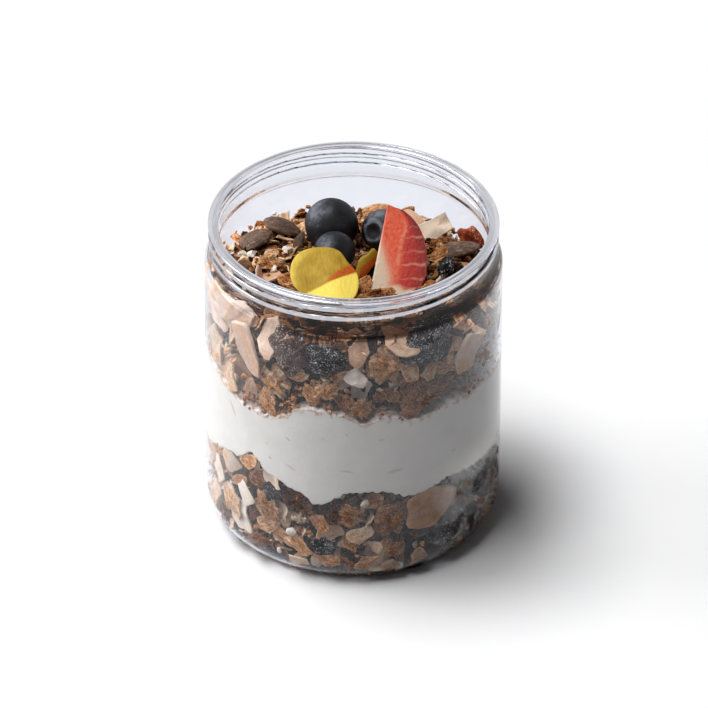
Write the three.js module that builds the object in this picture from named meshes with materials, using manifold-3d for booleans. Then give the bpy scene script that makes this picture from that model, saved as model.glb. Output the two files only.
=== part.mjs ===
// A clear plastic screw-neck jar filled with granola, yogurt and granola again, and topped with
// three blueberries, a strawberry wedge and two flower petals. Millimetres, +Z up, with the
// origin at the centre of the standing face.
import * as THREE from "three";
import { mergeVertices } from "three/addons/utils/BufferGeometryUtils.js";
import Module from "manifold-3d";

const wasm = await Module();
wasm.setup();

// ---- driving dimensions -------------------------------------------------------------------

const GAP = 0.32;

const JAR_HEIGHT = 98;
const BODY_RADIUS = 42.5;
const WALL = 1.3;
const HEEL_RADIUS = 10;
const FLOOR_THICKNESS = 1.6;
const STANDING_RING_INNER = 26;
const PUSH_UP = 1.4;
const SHOULDER_BOTTOM = 84.6;
const NECK_BOTTOM = 89.6;
const NECK_RADIUS = 40.2;
const MOUTH_RADIUS = 38.5;
const LIP_RADIUS = 41.4;
const LIP_BOTTOM = 97.1;
const LIP_EDGE = 0.4;
const THREAD_RADIUS = 41.35;
const THREAD_STARTS = 2;
const THREAD_LEAD = 6;
const THREAD_LOW = 91;
const THREAD_TURNS = 0.95;
const THREAD_WIDTH = 1.7;
const THREAD_ROW = 0.62;
const JAR_SEGMENTS = 44;

const INNER_RADIUS = BODY_RADIUS - WALL;
const FOOD_RADIUS = INNER_RADIUS * Math.cos(Math.PI / JAR_SEGMENTS) - GAP;
const FOOD_FLOOR = PUSH_UP + FLOOR_THICKNESS + GAP;
const FOOD_SEGMENTS = 54;
const CORE_SEGMENTS = 30;

// Height of each border between the layers along the wall, as pairs of angle in degrees and
// millimetres. The camera side is at -90 degrees.
const YOGURT_FOOT = [
  [-169, 29], [-142, 34.6], [-133, 38.8], [-124, 34], [-113, 31.6], [-104, 28],
  [-91, 32.8], [-80, 32.9], [-65, 29.6], [-50, 31.6], [-22, 29.4], [10, 27], [60, 31], [120, 28],
];
const YOGURT_HEAD = [
  [-167, 59.8], [-135, 54.7], [-124, 55], [-108, 61.2], [-95, 60.2], [-85, 57.2],
  [-78, 59.2], [-64, 56.2], [-50, 58], [-20, 56.8], [20, 55], [75, 58.5], [130, 56],
];
const YOGURT_FOOT_LEVEL = 31;
const YOGURT_HEAD_LEVEL = 57.5;
const YOGURT_MIDDLE = 46;

// The heap's top surface is a gentle slope, high at the camera side, with low swells on it.
const HEAP_LEVEL = 79.4;
const HEAP_SLOPE_X = -0.024;
const HEAP_SLOPE_Y = -0.075;
const HEAP_SWELL = 0.7;
const CORE_INSET = 2;
const CORE_DROP = 1.3;
const HEAP_MARGIN = 1;
const SEAT_SPREAD = 6;

const BERRY_SEGMENTS = 16;
const BERRY_RINGS = 12;
const BERRIES = [
  { name: "blueberry_large", at: [-6.3, 17.2, 85.15], radius: 7.8, crown: [0.5, 0.7, 0.5] },
  { name: "blueberry_front", at: [-5.4, 3.1, 85.5], radius: 5.95, crown: [-0.1, 0.2, -0.98] },
  { name: "blueberry_back", at: [8.2, 15.6, 84.3], radius: 6.1, crown: [-0.62, -0.72, 0.3] },
];

const WEDGE = {
  foot: [4.8, -7.8, 79.8],
  tip: [9.6, 10.4, 96.4],
  radius: 14.6,
  widest: 0.3,
  footRun: 0.38,
  tipRun: 0.72,
  facing: [0, -0.821, 0.571],
  turn: 52,
  rows: 10,
  segments: 44,
};

const PETAL_THICKNESS = 0.5;

// Least volume that a loose piece shares with its core, and the least distances between pieces.
const MIN_BITE = 1.5;
const WALL_SPACING = 6.4;
const HEAP_SPACING = 6.8;
const WALL_ROW_STEP = 4.4;
const WALL_PER_ROW = 30;
const HEAP_TRIALS = 105;

// ---- small tools --------------------------------------------------------------------------

// A closed geometry as a solid for joining and cutting.
function solidOf(geometry) {
  const bare = geometry.clone();
  bare.deleteAttribute("normal");
  bare.deleteAttribute("uv");
  const merged = mergeVertices(bare, 1e-4);
  return new wasm.Manifold(
    new wasm.Mesh({
      numProp: 3,
      vertProperties: new Float32Array(merged.attributes.position.array),
      triVerts: new Uint32Array(merged.index.array),
    }),
  );
}

// A joined or cut solid as a geometry again.
function geometryOf(solid) {
  const mesh = solid.getMesh();
  const geometry = new THREE.BufferGeometry();
  geometry.setAttribute("position", new THREE.BufferAttribute(mesh.vertProperties, 3));
  geometry.setIndex(new THREE.BufferAttribute(mesh.triVerts, 1));
  geometry.computeVertexNormals();
  return geometry;
}

// A closed profile of [radius, height] points turned about the vertical axis.
function turned(profile, segments) {
  const points = profile.map(([r, z]) => new THREE.Vector2(r, z));
  const geometry = new THREE.LatheGeometry(points, segments);
  geometry.deleteAttribute("normal");
  geometry.deleteAttribute("uv");
  return mergeVertices(geometry.rotateX(Math.PI / 2), 1e-4);
}

// Points on an arc in a profile, angles in degrees from the outward direction.
function arc(r, z, radius, from, to, steps) {
  return Array.from({ length: steps + 1 }, (_, i) => {
    const a = THREE.MathUtils.degToRad(from + ((to - from) * i) / steps);
    return [r + radius * Math.cos(a), z + radius * Math.sin(a)];
  });
}

// Moves each vertex of a geometry by a function of its place.
function reshape(geometry, move) {
  const position = geometry.attributes.position;
  const point = new THREE.Vector3();
  for (let i = 0; i < position.count; i += 1) {
    point.fromBufferAttribute(position, i);
    move(point);
    position.setXYZ(i, point.x, point.y, point.z);
  }
  return geometry;
}

// A seeded source of even random numbers from 0 to 1.
function randomSource(seed) {
  let state = seed >>> 0;
  return () => {
    state = (state + 0x6d2b79f5) >>> 0;
    let t = Math.imul(state ^ (state >>> 15), 1 | state);
    t = (t + Math.imul(t ^ (t >>> 7), 61 | t)) ^ t;
    return ((t ^ (t >>> 14)) >>> 0) / 4294967296;
  };
}

// ---- the jar ------------------------------------------------------------------------------

// How far a double-start right-hand thread stands out of the neck, from 0 to 1.
function threadShare(angle, z) {
  let share = 0;
  for (let start = 0; start < THREAD_STARTS; start += 1) {
    const begin = (2 * Math.PI * start) / THREAD_STARTS;
    const along = (((angle - begin) / (2 * Math.PI)) % 1 + 1) % 1;
    const ridge = THREAD_LOW + THREAD_LEAD * along;
    const across = Math.abs(z - ridge) / (THREAD_WIDTH / 2);
    const ends = Math.min(along / 0.04, (THREAD_TURNS - along) / 0.04, 1);
    share = Math.max(share, THREE.MathUtils.clamp(2 * (1.2 - across), 0, 1) * Math.max(ends, 0));
  }
  return share;
}

function jarGeometry() {
  const standing = BODY_RADIUS - HEEL_RADIUS;
  const neckRows = Math.round((LIP_BOTTOM - NECK_BOTTOM) / THREAD_ROW);
  const neck = Array.from({ length: neckRows + 1 }, (_, i) => [
    NECK_RADIUS,
    NECK_BOTTOM + ((LIP_BOTTOM - NECK_BOTTOM) * i) / neckRows,
  ]);
  const profile = [
    [0, PUSH_UP],
    [STANDING_RING_INNER - 4, PUSH_UP * 0.8],
    [STANDING_RING_INNER, 0],
    ...arc(standing, HEEL_RADIUS, HEEL_RADIUS, -90, 0, 6),
    ...arc(BODY_RADIUS - 2.4, SHOULDER_BOTTOM, 2.4, 0, 55, 3),
    [NECK_RADIUS + 0.35, NECK_BOTTOM - 1.2],
    ...neck,
    [LIP_RADIUS, LIP_BOTTOM + 0.25],
    [LIP_RADIUS, JAR_HEIGHT - LIP_EDGE],
    [LIP_RADIUS - LIP_EDGE, JAR_HEIGHT],
    [MOUTH_RADIUS + LIP_EDGE, JAR_HEIGHT],
    [MOUTH_RADIUS, JAR_HEIGHT - LIP_EDGE],
    [MOUTH_RADIUS, NECK_BOTTOM],
    [MOUTH_RADIUS + 0.9, NECK_BOTTOM - 2.1],
    [INNER_RADIUS - 0.4, SHOULDER_BOTTOM + 0.9],
    [INNER_RADIUS, SHOULDER_BOTTOM - 0.8],
    ...arc(standing, HEEL_RADIUS, HEEL_RADIUS - WALL, 0, -68, 4),
    [STANDING_RING_INNER - 2, PUSH_UP * 0.75 + FLOOR_THICKNESS],
    [0, PUSH_UP + FLOOR_THICKNESS],
  ];
  return reshape(turned(profile, JAR_SEGMENTS), (p) => {
    const radius = Math.hypot(p.x, p.y);
    if (Math.abs(radius - NECK_RADIUS) > 0.01) return;
    const angle = Math.atan2(p.y, p.x);
    const grown = NECK_RADIUS + (THREAD_RADIUS - NECK_RADIUS) * threadShare(angle, p.z);
    p.x *= grown / radius;
    p.y *= grown / radius;
  });
}

// ---- the layers ---------------------------------------------------------------------------

// Height of a border at an angle along the wall, easing from each pair to the next.
function alongWall(pairs, angle) {
  const degrees = THREE.MathUtils.radToDeg(angle);
  let next = pairs.findIndex(([a]) => a > degrees);
  if (next < 0) next = 0;
  const [a0, h0] = pairs[(next + pairs.length - 1) % pairs.length];
  const [a1, h1] = pairs[next];
  const span = (a1 - a0 + 360) % 360;
  const share = ((degrees - a0 + 360) % 360) / span;
  return h0 + (h1 - h0) * THREE.MathUtils.smoothstep(share, 0, 1);
}

// A border surface: level inside, following the wall's line towards the wall.
function border(pairs, level, x, y) {
  const out = Math.min(Math.hypot(x, y) / FOOD_RADIUS, 1);
  return level + (alongWall(pairs, Math.atan2(y, x)) - level) * out ** 3;
}

function heapTop(x, y) {
  const swell = Math.sin(x * 0.21 + 0.8) * Math.cos(y * 0.19 - 0.4) + 0.6 * Math.sin(x * 0.11 - y * 0.37);
  return HEAP_LEVEL + HEAP_SLOPE_X * x + HEAP_SLOPE_Y * y + HEAP_SWELL * swell;
}

// The core lies below the heap's surface, and rises to it under the toppings that it carries.
function coreTop(x, y) {
  const carried = [...BERRIES.map((berry) => berry.at), WEDGE.foot];
  const nearest = Math.min(...carried.map((at) => Math.hypot(x - at[0], y - at[1])));
  const drop = THREE.MathUtils.smoothstep(nearest, SEAT_SPREAD, 1.6 * SEAT_SPREAD);
  return heapTop(x, y) - CORE_DROP * drop;
}

// Evenly stepped points of a profile from just off the axis out to a radius, at one level.
function rings(radius, level, steps) {
  return Array.from({ length: steps }, (_, i) => [(radius * (i + 1)) / steps, level]);
}

// The yogurt fills the jar between its two borders. Grown, it is the space that the granola
// keeps clear of.
function yogurtGeometry(grow = 0) {
  const radius = FOOD_RADIUS + grow;
  const profile = [
    [0, YOGURT_FOOT_LEVEL],
    ...rings(radius, YOGURT_FOOT_LEVEL, 4),
    ...rings(radius, YOGURT_HEAD_LEVEL, 4).reverse(),
    [0, YOGURT_HEAD_LEVEL],
  ];
  return reshape(turned(profile, FOOD_SEGMENTS), (p) => {
    const low = Math.abs(p.z - YOGURT_FOOT_LEVEL) < 0.01;
    if (low) p.z = border(YOGURT_FOOT, YOGURT_FOOT_LEVEL, p.x, p.y) - grow;
    else p.z = border(YOGURT_HEAD, YOGURT_HEAD_LEVEL, p.x, p.y) + grow;
  });
}

// The granola's cores run into the yogurt's middle, and the yogurt's space is then cut away.
function lowerCoreGeometry() {
  const radius = FOOD_RADIUS - CORE_INSET;
  const heel = HEEL_RADIUS - WALL - GAP - CORE_INSET;
  return turned([
    [0, FOOD_FLOOR],
    [STANDING_RING_INNER - 2, FOOD_FLOOR],
    ...arc(radius - heel, FOOD_FLOOR + heel, heel, -90, 0, 4),
    [radius, YOGURT_MIDDLE],
    [0, YOGURT_MIDDLE],
  ], CORE_SEGMENTS);
}

function upperCoreGeometry() {
  const radius = FOOD_RADIUS - CORE_INSET;
  const profile = [
    [0, YOGURT_MIDDLE],
    [radius, YOGURT_MIDDLE],
    ...rings(radius, HEAP_LEVEL, 5).reverse(),
    [0, HEAP_LEVEL],
  ];
  return reshape(turned(profile, CORE_SEGMENTS), (p) => {
    if (p.z > YOGURT_MIDDLE) p.z = coreTop(p.x, p.y);
  });
}

// ---- the toppings -------------------------------------------------------------------------

// A blueberry: a slightly flattened ball whose crown is a sunken star with a raised rim.
function berryGeometry({ at, radius, crown }, grow = 0) {
  const ball = new THREE.SphereGeometry(1, BERRY_SEGMENTS, BERRY_RINGS).rotateX(Math.PI / 2);
  ball.deleteAttribute("normal");
  ball.deleteAttribute("uv");
  const shaped = reshape(mergeVertices(ball, 1e-4), (p) => {
    const fromPole = Math.acos(THREE.MathUtils.clamp(p.z, -1, 1));
    const angle = Math.atan2(p.y, p.x);
    const rim = Math.exp(-(((fromPole - 0.5) / 0.16) ** 2)) * (0.05 + 0.03 * Math.cos(5 * angle));
    const pit = 0.16 * Math.exp(-((fromPole / 0.34) ** 2));
    const share = grow > 0 ? 1.04 : 1 + rim - pit;
    p.multiplyScalar(radius * share + grow);
    p.z *= 0.94;
  });
  const turn = new THREE.Quaternion().setFromUnitVectors(
    new THREE.Vector3(0, 0, 1),
    new THREE.Vector3(...crown).normalize(),
  );
  return shaped.applyQuaternion(turn).translate(...at);
}

// Half width of the strawberry at a share of its length from the stalk end to the tip: an
// ellipse arc on each side of the widest place.
function wedgeHalfWidth(share) {
  const run = share < WEDGE.widest ? WEDGE.footRun : WEDGE.tipRun;
  return WEDGE.radius * Math.sqrt(1 - ((share - WEDGE.widest) / run) ** 2);
}

// A strawberry wedge: a sector of a turned strawberry between two flat cuts that meet on its
// axis. The first cut faces the camera side and the round red skin is behind it.
function wedgeGeometry(grow = 0) {
  const foot = new THREE.Vector3(...WEDGE.foot);
  const axis = new THREE.Vector3(...WEDGE.tip).sub(foot);
  const length = axis.length();
  axis.normalize();
  const toCamera = new THREE.Vector3(...WEDGE.facing);
  const away = toCamera.addScaledVector(axis, -toCamera.dot(axis)).normalize().negate();
  const right = new THREE.Vector3().crossVectors(away, axis);
  const points = [new THREE.Vector2(0, -grow)];
  for (let i = 0; i <= WEDGE.rows; i += 1) {
    const share = Math.sin((Math.PI / 2) * (i / WEDGE.rows));
    points.push(new THREE.Vector2(wedgeHalfWidth(share) + grow, length * share - grow));
  }
  points.push(new THREE.Vector2(0, length + grow));
  const berry = new THREE.LatheGeometry(points, WEDGE.segments).rotateX(Math.PI / 2);

  // A prism whose edge lies on the axis, or beyond it by the clearance, keeps the sector.
  const sweep = THREE.MathUtils.degToRad(WEDGE.turn);
  const reach = 2 * WEDGE.radius;
  const back = grow / Math.sin(sweep / 2);
  const corner = new THREE.Vector2(-back * Math.cos(sweep / 2), -back * Math.sin(sweep / 2));
  const outline = new THREE.Shape();
  outline.moveTo(corner.x, corner.y);
  outline.lineTo(corner.x + reach, corner.y);
  outline.lineTo(corner.x + reach, corner.y + reach * Math.tan(sweep / 2));
  outline.lineTo(corner.x + reach * Math.cos(sweep), corner.y + reach * Math.sin(sweep));
  const prism = new THREE.ExtrudeGeometry(outline, { depth: 2 * length, bevelEnabled: false });
  prism.translate(0, 0, -length / 2);
  const sector = solidOf(berry).intersect(solidOf(prism));
  const frame = new THREE.Matrix4().makeBasis(right, away, axis).setPosition(foot);
  return geometryOf(sector).applyMatrix4(frame);
}

// A petal: a thin sheet over a disc of rings, split alike on both faces, laid on a place by a
// function that bends it.
function petalGeometry(outlineAt, bend, ringCount, spokes) {
  const profile = [
    [0, 0],
    ...rings(1, 0, ringCount),
    ...rings(1, 1, ringCount).reverse(),
    [0, 1],
  ];
  return reshape(turned(profile, spokes), (p) => {
    const out = Math.hypot(p.x, p.y);
    const angle = Math.atan2(p.y, p.x);
    const reach = outlineAt(angle);
    const u = out * reach * Math.cos(angle);
    const v = out * reach * Math.sin(angle);
    const side = (p.z - 0.5) * PETAL_THICKNESS;
    p.copy(bend(u, v, side));
  });
}

// A nearly round outline: a radius with smooth bumps and notches, each as its angle in degrees,
// its spread in degrees and its height.
function bumpyOutline(radius, bumps) {
  return (angle) => bumps.reduce((reach, [at, spread, height]) => {
    const apart = Math.abs(THREE.MathUtils.euclideanModulo(
      THREE.MathUtils.radToDeg(angle) - at + 180, 360) - 180);
    return reach + height * Math.exp(-((apart / spread) ** 2));
  }, radius);
}

// The front petal leans on the front blueberry. Its lower right half is folded up along a line
// from the notch at its right to its left foot.
function frontPetal() {
  const middle = new THREE.Vector3(-8.2, -11, 86.7);
  const rise = new THREE.Vector3(0, 18.4, 10.2).normalize();
  const across = new THREE.Vector3(1, 0, 0);
  const out = new THREE.Vector3().crossVectors(across, rise);
  const outlineAt = bumpyOutline(9.4, [[136, 35, 1.3], [37, 20, -1.3], [313, 30, 1.8], [222, 22, -1]]);
  const bend = (u, v, side) => {
    const fold = 0.16 * Math.max(0, 0.42 * u - v - 3.2);
    const lift = -0.011 * (u * u + v * v) + 0.25 * Math.sin(u * 0.5) + fold;
    return middle.clone()
      .addScaledVector(across, u)
      .addScaledVector(rise, v)
      .addScaledVector(out, lift + side);
  };
  return petalGeometry(outlineAt, bend, 3, 24);
}

// The back petal is small and curled, and stands between the blueberries and the strawberry.
function backPetal() {
  const centre = new THREE.Vector3(3.6, -0.6, 83.6);
  const across = new THREE.Vector3(0.62, 0.42, 0.28);
  const outlineAt = (a) => 4.2 + 0.9 * Math.cos(2 * a) + 0.3 * Math.cos(5 * a + 1);
  const bend = (u, v, side) => {
    const curl = v * 0.2;
    const lean = new THREE.Vector3(0.12 * v, 2.6 * Math.sin(curl) + 0.024 * u * u, 0.86 * v);
    return centre.clone()
      .addScaledVector(across, u)
      .add(lean)
      .addScaledVector(new THREE.Vector3(0, -Math.cos(curl), 0.3), side);
  };
  return petalGeometry(outlineAt, bend, 2, 18);
}

// ---- the loose pieces of the granola --------------------------------------------------------

// Half sizes of each kind: along, across and thick.
const KINDS = {
  oat: [3.9, 2.9, 0.8],
  lump: [4.4, 3.6, 2.6],
  slice: [7.2, 4.6, 0.8],
  chip: [5.4, 3.6, 0.7],
  raisin: [4.6, 3.6, 2.9],
  seed: [5.4, 3.3, 1.3],
};

// One piece: a ball or a short many-sided plate pulled to its half sizes and knocked uneven.
function pieceSolid(kind, scale, turn, at, random) {
  const plate = kind === "slice" || kind === "chip";
  const base = plate
    ? new THREE.CylinderGeometry(1, 0.9, 2, 7).rotateX(Math.PI / 2)
    : new THREE.IcosahedronGeometry(1, 0);
  base.deleteAttribute("normal");
  base.deleteAttribute("uv");
  const [along, across, thick] = KINDS[kind];
  const knock = plate ? 0.1 : 0.16;
  const shaped = reshape(mergeVertices(base, 1e-4), (p) => {
    p.multiplyScalar(1 + knock * (2 * random() - 1));
    p.set(p.x * along * scale, p.y * across * scale, p.z * thick * (plate ? 1 : scale));
  });
  return solidOf(shaped.applyQuaternion(turn).translate(...at));
}

// Lies flat against the wall at an angle and a height, spun in its own plane and tilted a little.
function againstWall(angle, spin, tilt) {
  const outward = new THREE.Vector3(Math.cos(angle), Math.sin(angle), 0);
  const side = new THREE.Vector3(-Math.sin(angle), Math.cos(angle), 0);
  const up = new THREE.Vector3(0, 0, 1);
  const flat = new THREE.Quaternion().setFromRotationMatrix(
    new THREE.Matrix4().makeBasis(side, up, outward),
  );
  const spun = new THREE.Quaternion().setFromAxisAngle(new THREE.Vector3(0, 0, 1), spin);
  const tipped = new THREE.Quaternion().setFromAxisAngle(new THREE.Vector3(1, 0, 0), tilt);
  return flat.multiply(tipped).multiply(spun);
}

// Distance from the jar's axis at which a piece just clears the wall: in from it by the wall's
// sag over the piece's length, by half its thickness, and by the heel's curve near the floor.
function wallSeat(kind, scale, z) {
  const [along, , thick] = KINDS[kind];
  const sag = (along * scale) ** 2 / (2 * FOOD_RADIUS);
  const belowHeel = Math.max(0, HEEL_RADIUS + 2 - z);
  const heelCurve = belowHeel ** 2 / (1.5 * HEEL_RADIUS);
  return FOOD_RADIUS - sag - 1.1 * thick * scale - GAP - heelCurve;
}

// Pieces that stand out in the photographed side, each with its angle, height, scale and spin.
const UPPER_FEATURES = [
  ["slice", -141, 70.5, 1.25, 1.2], ["raisin", -121, 74, 1.1, 0.4], ["raisin", -104, 74, 1.25, 0.9],
  ["chip", -88, 74, 1.2, 2.2], ["lump", -73, 70.5, 1.15, 0.3], ["raisin", -62, 77, 1.35, 1.9],
  ["chip", -42, 74.5, 1.5, 0.9], ["chip", -87, 66, 0.75, 2.6], ["oat", -112, 65, 1.1, 0.2],
  ["seed", -155, 74, 1, 1.4], ["lump", -26, 69, 1, 0.5],
];
const LOWER_FEATURES = [
  ["slice", -62, 24.5, 1.2, 0.5], ["chip", -123, 22, 1.1, 2.0], ["chip", -98, 13.5, 1.2, 0.2],
  ["raisin", -113, 28, 1.05, 0.2], ["raisin", -83, 8.5, 1.1, 0.1], ["oat", -80, 17, 1.5, 0.3],
  ["raisin", -57, 12, 1.3, 0.6], ["chip", -138, 27, 1, 1.2], ["lump", -70, 20, 1.2, 0.4],
];

// Pieces that stand out on the heap, each with its place, height over the heap, scale, spin and
// tilt.
const HEAP_FEATURES = [
  ["seed", -28, 18, 1.1, 1.05, 0.25, 0.15], ["seed", -20.5, 24.5, 1.3, 1, -0.35, 0.3],
  ["raisin", 30, 12.5, 1.8, 0.85, 0.3, 0.2], ["chip", 23.8, 23.5, 2.2, 0.95, 0.7, 0.75],
  ["raisin", 32.2, 18.8, 2.4, 0.8, 1.4, 0.2], ["oat", 6.6, 33, 1.5, 1.2, 0.3, 0.5],
  ["slice", 17, 29.5, 1.3, 0.8, 2.3, 0.3], ["oat", -24, 4, 0.9, 1.2, 0.2, 0.4],
  ["oat", -19, -6, 0.7, 1.15, -0.6, 0.3], ["lump", 24, 0, 1.2, 0.9, 0.5, 0.3],
];

const WALL_KINDS = ["oat", "lump", "chip", "oat", "raisin", "oat", "seed", "slice"];
const HEAP_KINDS = ["oat", "lump", "oat", "chip", "oat", "seed", "oat", "raisin"];

// Keeps each candidate that bites into the core, away from those kept before it and clear of
// the neighbours.
function keepClear(core, candidates, spacing, obstacles) {
  const kept = [];
  for (const { at, make } of candidates) {
    const crowded = kept.some((other) => other.at.distanceTo(at) < spacing);
    if (crowded) continue;
    const solid = make();
    if (core.intersect(solid).volume() < MIN_BITE) continue;
    if (obstacles.some((obstacle) => solid.minGap(obstacle, 2 * GAP) < 0.95 * GAP)) continue;
    kept.push({ at, solid });
  }
  return kept.map((piece) => piece.solid);
}

// Candidates along the wall: the named ones first, then rows of mixed ones between two heights.
function wallCandidates(features, low, high, random) {
  const candidates = [];
  const add = (kind, angle, z, scale, spin, tilt) => {
    const seat = wallSeat(kind, scale, z);
    const at = new THREE.Vector3(seat * Math.cos(angle), seat * Math.sin(angle), z);
    if (z > heapTop(at.x, at.y) - HEAP_MARGIN) return;
    const make = () => pieceSolid(kind, scale, againstWall(angle, spin, tilt), at.toArray(), random);
    candidates.push({ at, make });
  };
  for (const [kind, degrees, z, scale, spin] of features) {
    add(kind, THREE.MathUtils.degToRad(degrees), z, scale, spin, 0);
  }
  for (let z = low, row = 0; z <= high; z += WALL_ROW_STEP, row += 1) {
    for (let i = 0; i < WALL_PER_ROW; i += 1) {
      const angle = (2 * Math.PI * (i + 0.5 * (row % 2) + 0.5 * (random() - 0.5))) / WALL_PER_ROW;
      const kind = WALL_KINDS[Math.floor(random() * WALL_KINDS.length)];
      const scale = 0.8 + 0.4 * random();
      const height = z + 0.6 * WALL_ROW_STEP * (random() - 0.5);
      add(kind, angle, height, scale, Math.PI * random(), 0.24 * (random() - 0.5));
    }
  }
  return candidates;
}

// Candidates on the heap: the named ones first, then mixed ones on a spiral that spaces evenly.
function heapCandidates(random) {
  const candidates = [];
  const add = (kind, x, y, over, scale, spin, tilt) => {
    const at = new THREE.Vector3(x, y, coreTop(x, y) + over);
    const turn = new THREE.Quaternion().setFromEuler(new THREE.Euler(tilt, 0.4 * tilt, spin, "ZXY"));
    candidates.push({ at, make: () => pieceSolid(kind, scale, turn, at.toArray(), random) });
  };
  for (const feature of HEAP_FEATURES) add(...feature);
  const golden = Math.PI * (3 - Math.sqrt(5));
  for (let i = 0; i < HEAP_TRIALS; i += 1) {
    const radius = (FOOD_RADIUS - KINDS.oat[0]) * Math.sqrt((i + 0.5) / HEAP_TRIALS);
    const angle = golden * i;
    const kind = HEAP_KINDS[Math.floor(random() * HEAP_KINDS.length)];
    const tilt = 0.9 * (random() - 0.4);
    const over = 0.2 + 0.8 * random();
    const scale = 0.75 + 0.4 * random();
    add(kind, radius * Math.cos(angle), radius * Math.sin(angle), over, scale, 6.28 * random(), tilt);
  }
  return candidates;
}

// ---- putting it together ----------------------------------------------------------------------

const jar = jarGeometry();
const yogurt = yogurtGeometry();
const berries = BERRIES.map((berry) => ({ name: berry.name, geometry: berryGeometry(berry) }));
const wedge = wedgeGeometry();
const petalFront = frontPetal();
const petalBack = backPetal();

const toppings = [...berries.map((berry) => berry.geometry), wedge, petalFront, petalBack];
const neighbours = [jar, yogurt, ...toppings].map(solidOf);

// The granola's cores are cut clear of the yogurt and of the toppings that sit in them.
const seats = wasm.Manifold.union([
  ...BERRIES.map((berry) => solidOf(berryGeometry(berry, GAP))),
  solidOf(wedgeGeometry(GAP)),
]);

const spread = solidOf(yogurtGeometry(GAP));
const lowerCore = solidOf(lowerCoreGeometry()).subtract(spread);
const upperCore = solidOf(upperCoreGeometry()).subtract(spread).subtract(seats);

const lowerWall = wallCandidates(LOWER_FEATURES, 5.5, 34, randomSource(11));
const lowerPieces = keepClear(lowerCore, lowerWall, WALL_SPACING, neighbours);
const lower = wasm.Manifold.union([lowerCore, ...lowerPieces]);

const upperWall = wallCandidates(UPPER_FEATURES, 59, 80, randomSource(23));
const upperPieces = [
  ...keepClear(upperCore, upperWall, WALL_SPACING, neighbours),
  ...keepClear(upperCore, heapCandidates(randomSource(37)), HEAP_SPACING, neighbours),
];
const upper = wasm.Manifold.union([upperCore, ...upperPieces]);

const granolaJar = new THREE.Group();

function add(name, geometry, colour, roughness, more = {}) {
  const material = new THREE.MeshStandardMaterial({ color: colour, roughness, metalness: 0, ...more });
  const mesh = new THREE.Mesh(geometry, material);
  mesh.name = name;
  granolaJar.add(mesh);
}

add("jar", jar, "#e6eaf4", 0.06, { transparent: true, opacity: 0.3 });
add("granola_bottom", geometryOf(lower), "#9a7150", 0.85);
add("yogurt", yogurt, "#f4f1ec", 0.35);
add("granola_top", geometryOf(upper), "#a5774f", 0.85);
for (const berry of berries) add(berry.name, berry.geometry, "#25252c", 0.5);
add("strawberry_wedge", wedge, "#c5341f", 0.4);
add("petal_front", petalFront, "#e2b92f", 0.6);
add("petal_back", petalBack, "#d99a35", 0.6);

export default granolaJar;
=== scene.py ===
import math

import bpy
import numpy as np
from mathutils import Matrix, Vector


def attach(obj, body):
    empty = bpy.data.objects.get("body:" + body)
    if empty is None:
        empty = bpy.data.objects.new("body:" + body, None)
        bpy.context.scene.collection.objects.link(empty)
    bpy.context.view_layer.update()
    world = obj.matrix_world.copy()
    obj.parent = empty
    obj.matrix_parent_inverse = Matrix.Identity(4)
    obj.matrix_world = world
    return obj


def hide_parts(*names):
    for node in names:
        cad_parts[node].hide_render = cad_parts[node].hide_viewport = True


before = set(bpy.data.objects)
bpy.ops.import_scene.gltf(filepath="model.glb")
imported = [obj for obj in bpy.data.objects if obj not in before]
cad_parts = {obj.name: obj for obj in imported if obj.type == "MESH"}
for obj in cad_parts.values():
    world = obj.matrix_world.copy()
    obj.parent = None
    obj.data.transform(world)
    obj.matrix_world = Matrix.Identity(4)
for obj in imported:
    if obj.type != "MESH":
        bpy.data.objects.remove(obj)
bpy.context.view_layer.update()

MM = 0.001

# ---- the camera ----------------------------------------------------------------------------------
# It looks down on the jar from the front, from far away with a long lens, so the jar's sides stay
# nearly parallel. The picture's middle lies a little above the jar's middle.

AIM = Vector((0.2, 3.3, 49.8)) * MM
DISTANCE = 2.5
ELEVATION = math.radians(34.8)
ROLL = math.radians(0.18)
LENS = 442.7
SENSOR = 36.0

back = Vector((0.0, -math.cos(ELEVATION), math.sin(ELEVATION)))
lens = bpy.data.cameras.new("long_lens")
lens.lens = LENS
lens.sensor_width = SENSOR
lens.clip_start = 0.1
lens.clip_end = 20.0
camera = bpy.data.objects.new("camera", lens)
facing = (-back).to_track_quat("-Z", "Y").to_matrix().to_4x4()
camera.matrix_world = Matrix.Translation(AIM + back * DISTANCE) @ facing @ Matrix.Rotation(ROLL, 4, "Z")
bpy.context.scene.collection.objects.link(camera)
bpy.context.scene.camera = camera

# ---- the floor and the light ---------------------------------------------------------------------
# A plain white floor under two large soft lamps, high at the back left and at the front left, which
# throw one soft shadow to the right, and a third low at the left. The studio's walls are pale and
# its ceiling dark where they show in the plastic, and they throw little light on the rest.

SKY_LOW = 1.0
SKY_HIGH = 0.12
SKY_THROWN = 0.06
SKY_COLOUR = (0.98, 0.97, 1.0, 1.0)
# The sines of the elevations where the pale walls end and the dark ceiling starts.
WALLS_END = 0.56
CEILING_START = 0.85
FLOOR_WIDTH = 12.0
LAMPS = {
    "back_lamp": {"power": 1.8, "azimuth": 151.0, "elevation": 68.6, "spread": 28.0},
    "front_lamp": {"power": 1.12, "azimuth": 218.0, "elevation": 68.4, "spread": 23.0},
    "side_lamp": {"power": 1.4, "azimuth": 174.0, "elevation": 22.0, "spread": 32.0},
}


def srgb(red, green, blue):
    """A colour as it looks on a screen, 0 to 255, as the linear colour that shaders take."""
    share = np.array([red, green, blue]) / 255.0
    linear = np.where(share <= 0.04045, share / 12.92, ((share + 0.055) / 1.055) ** 2.4)
    return (*linear.tolist(), 1.0)


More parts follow.
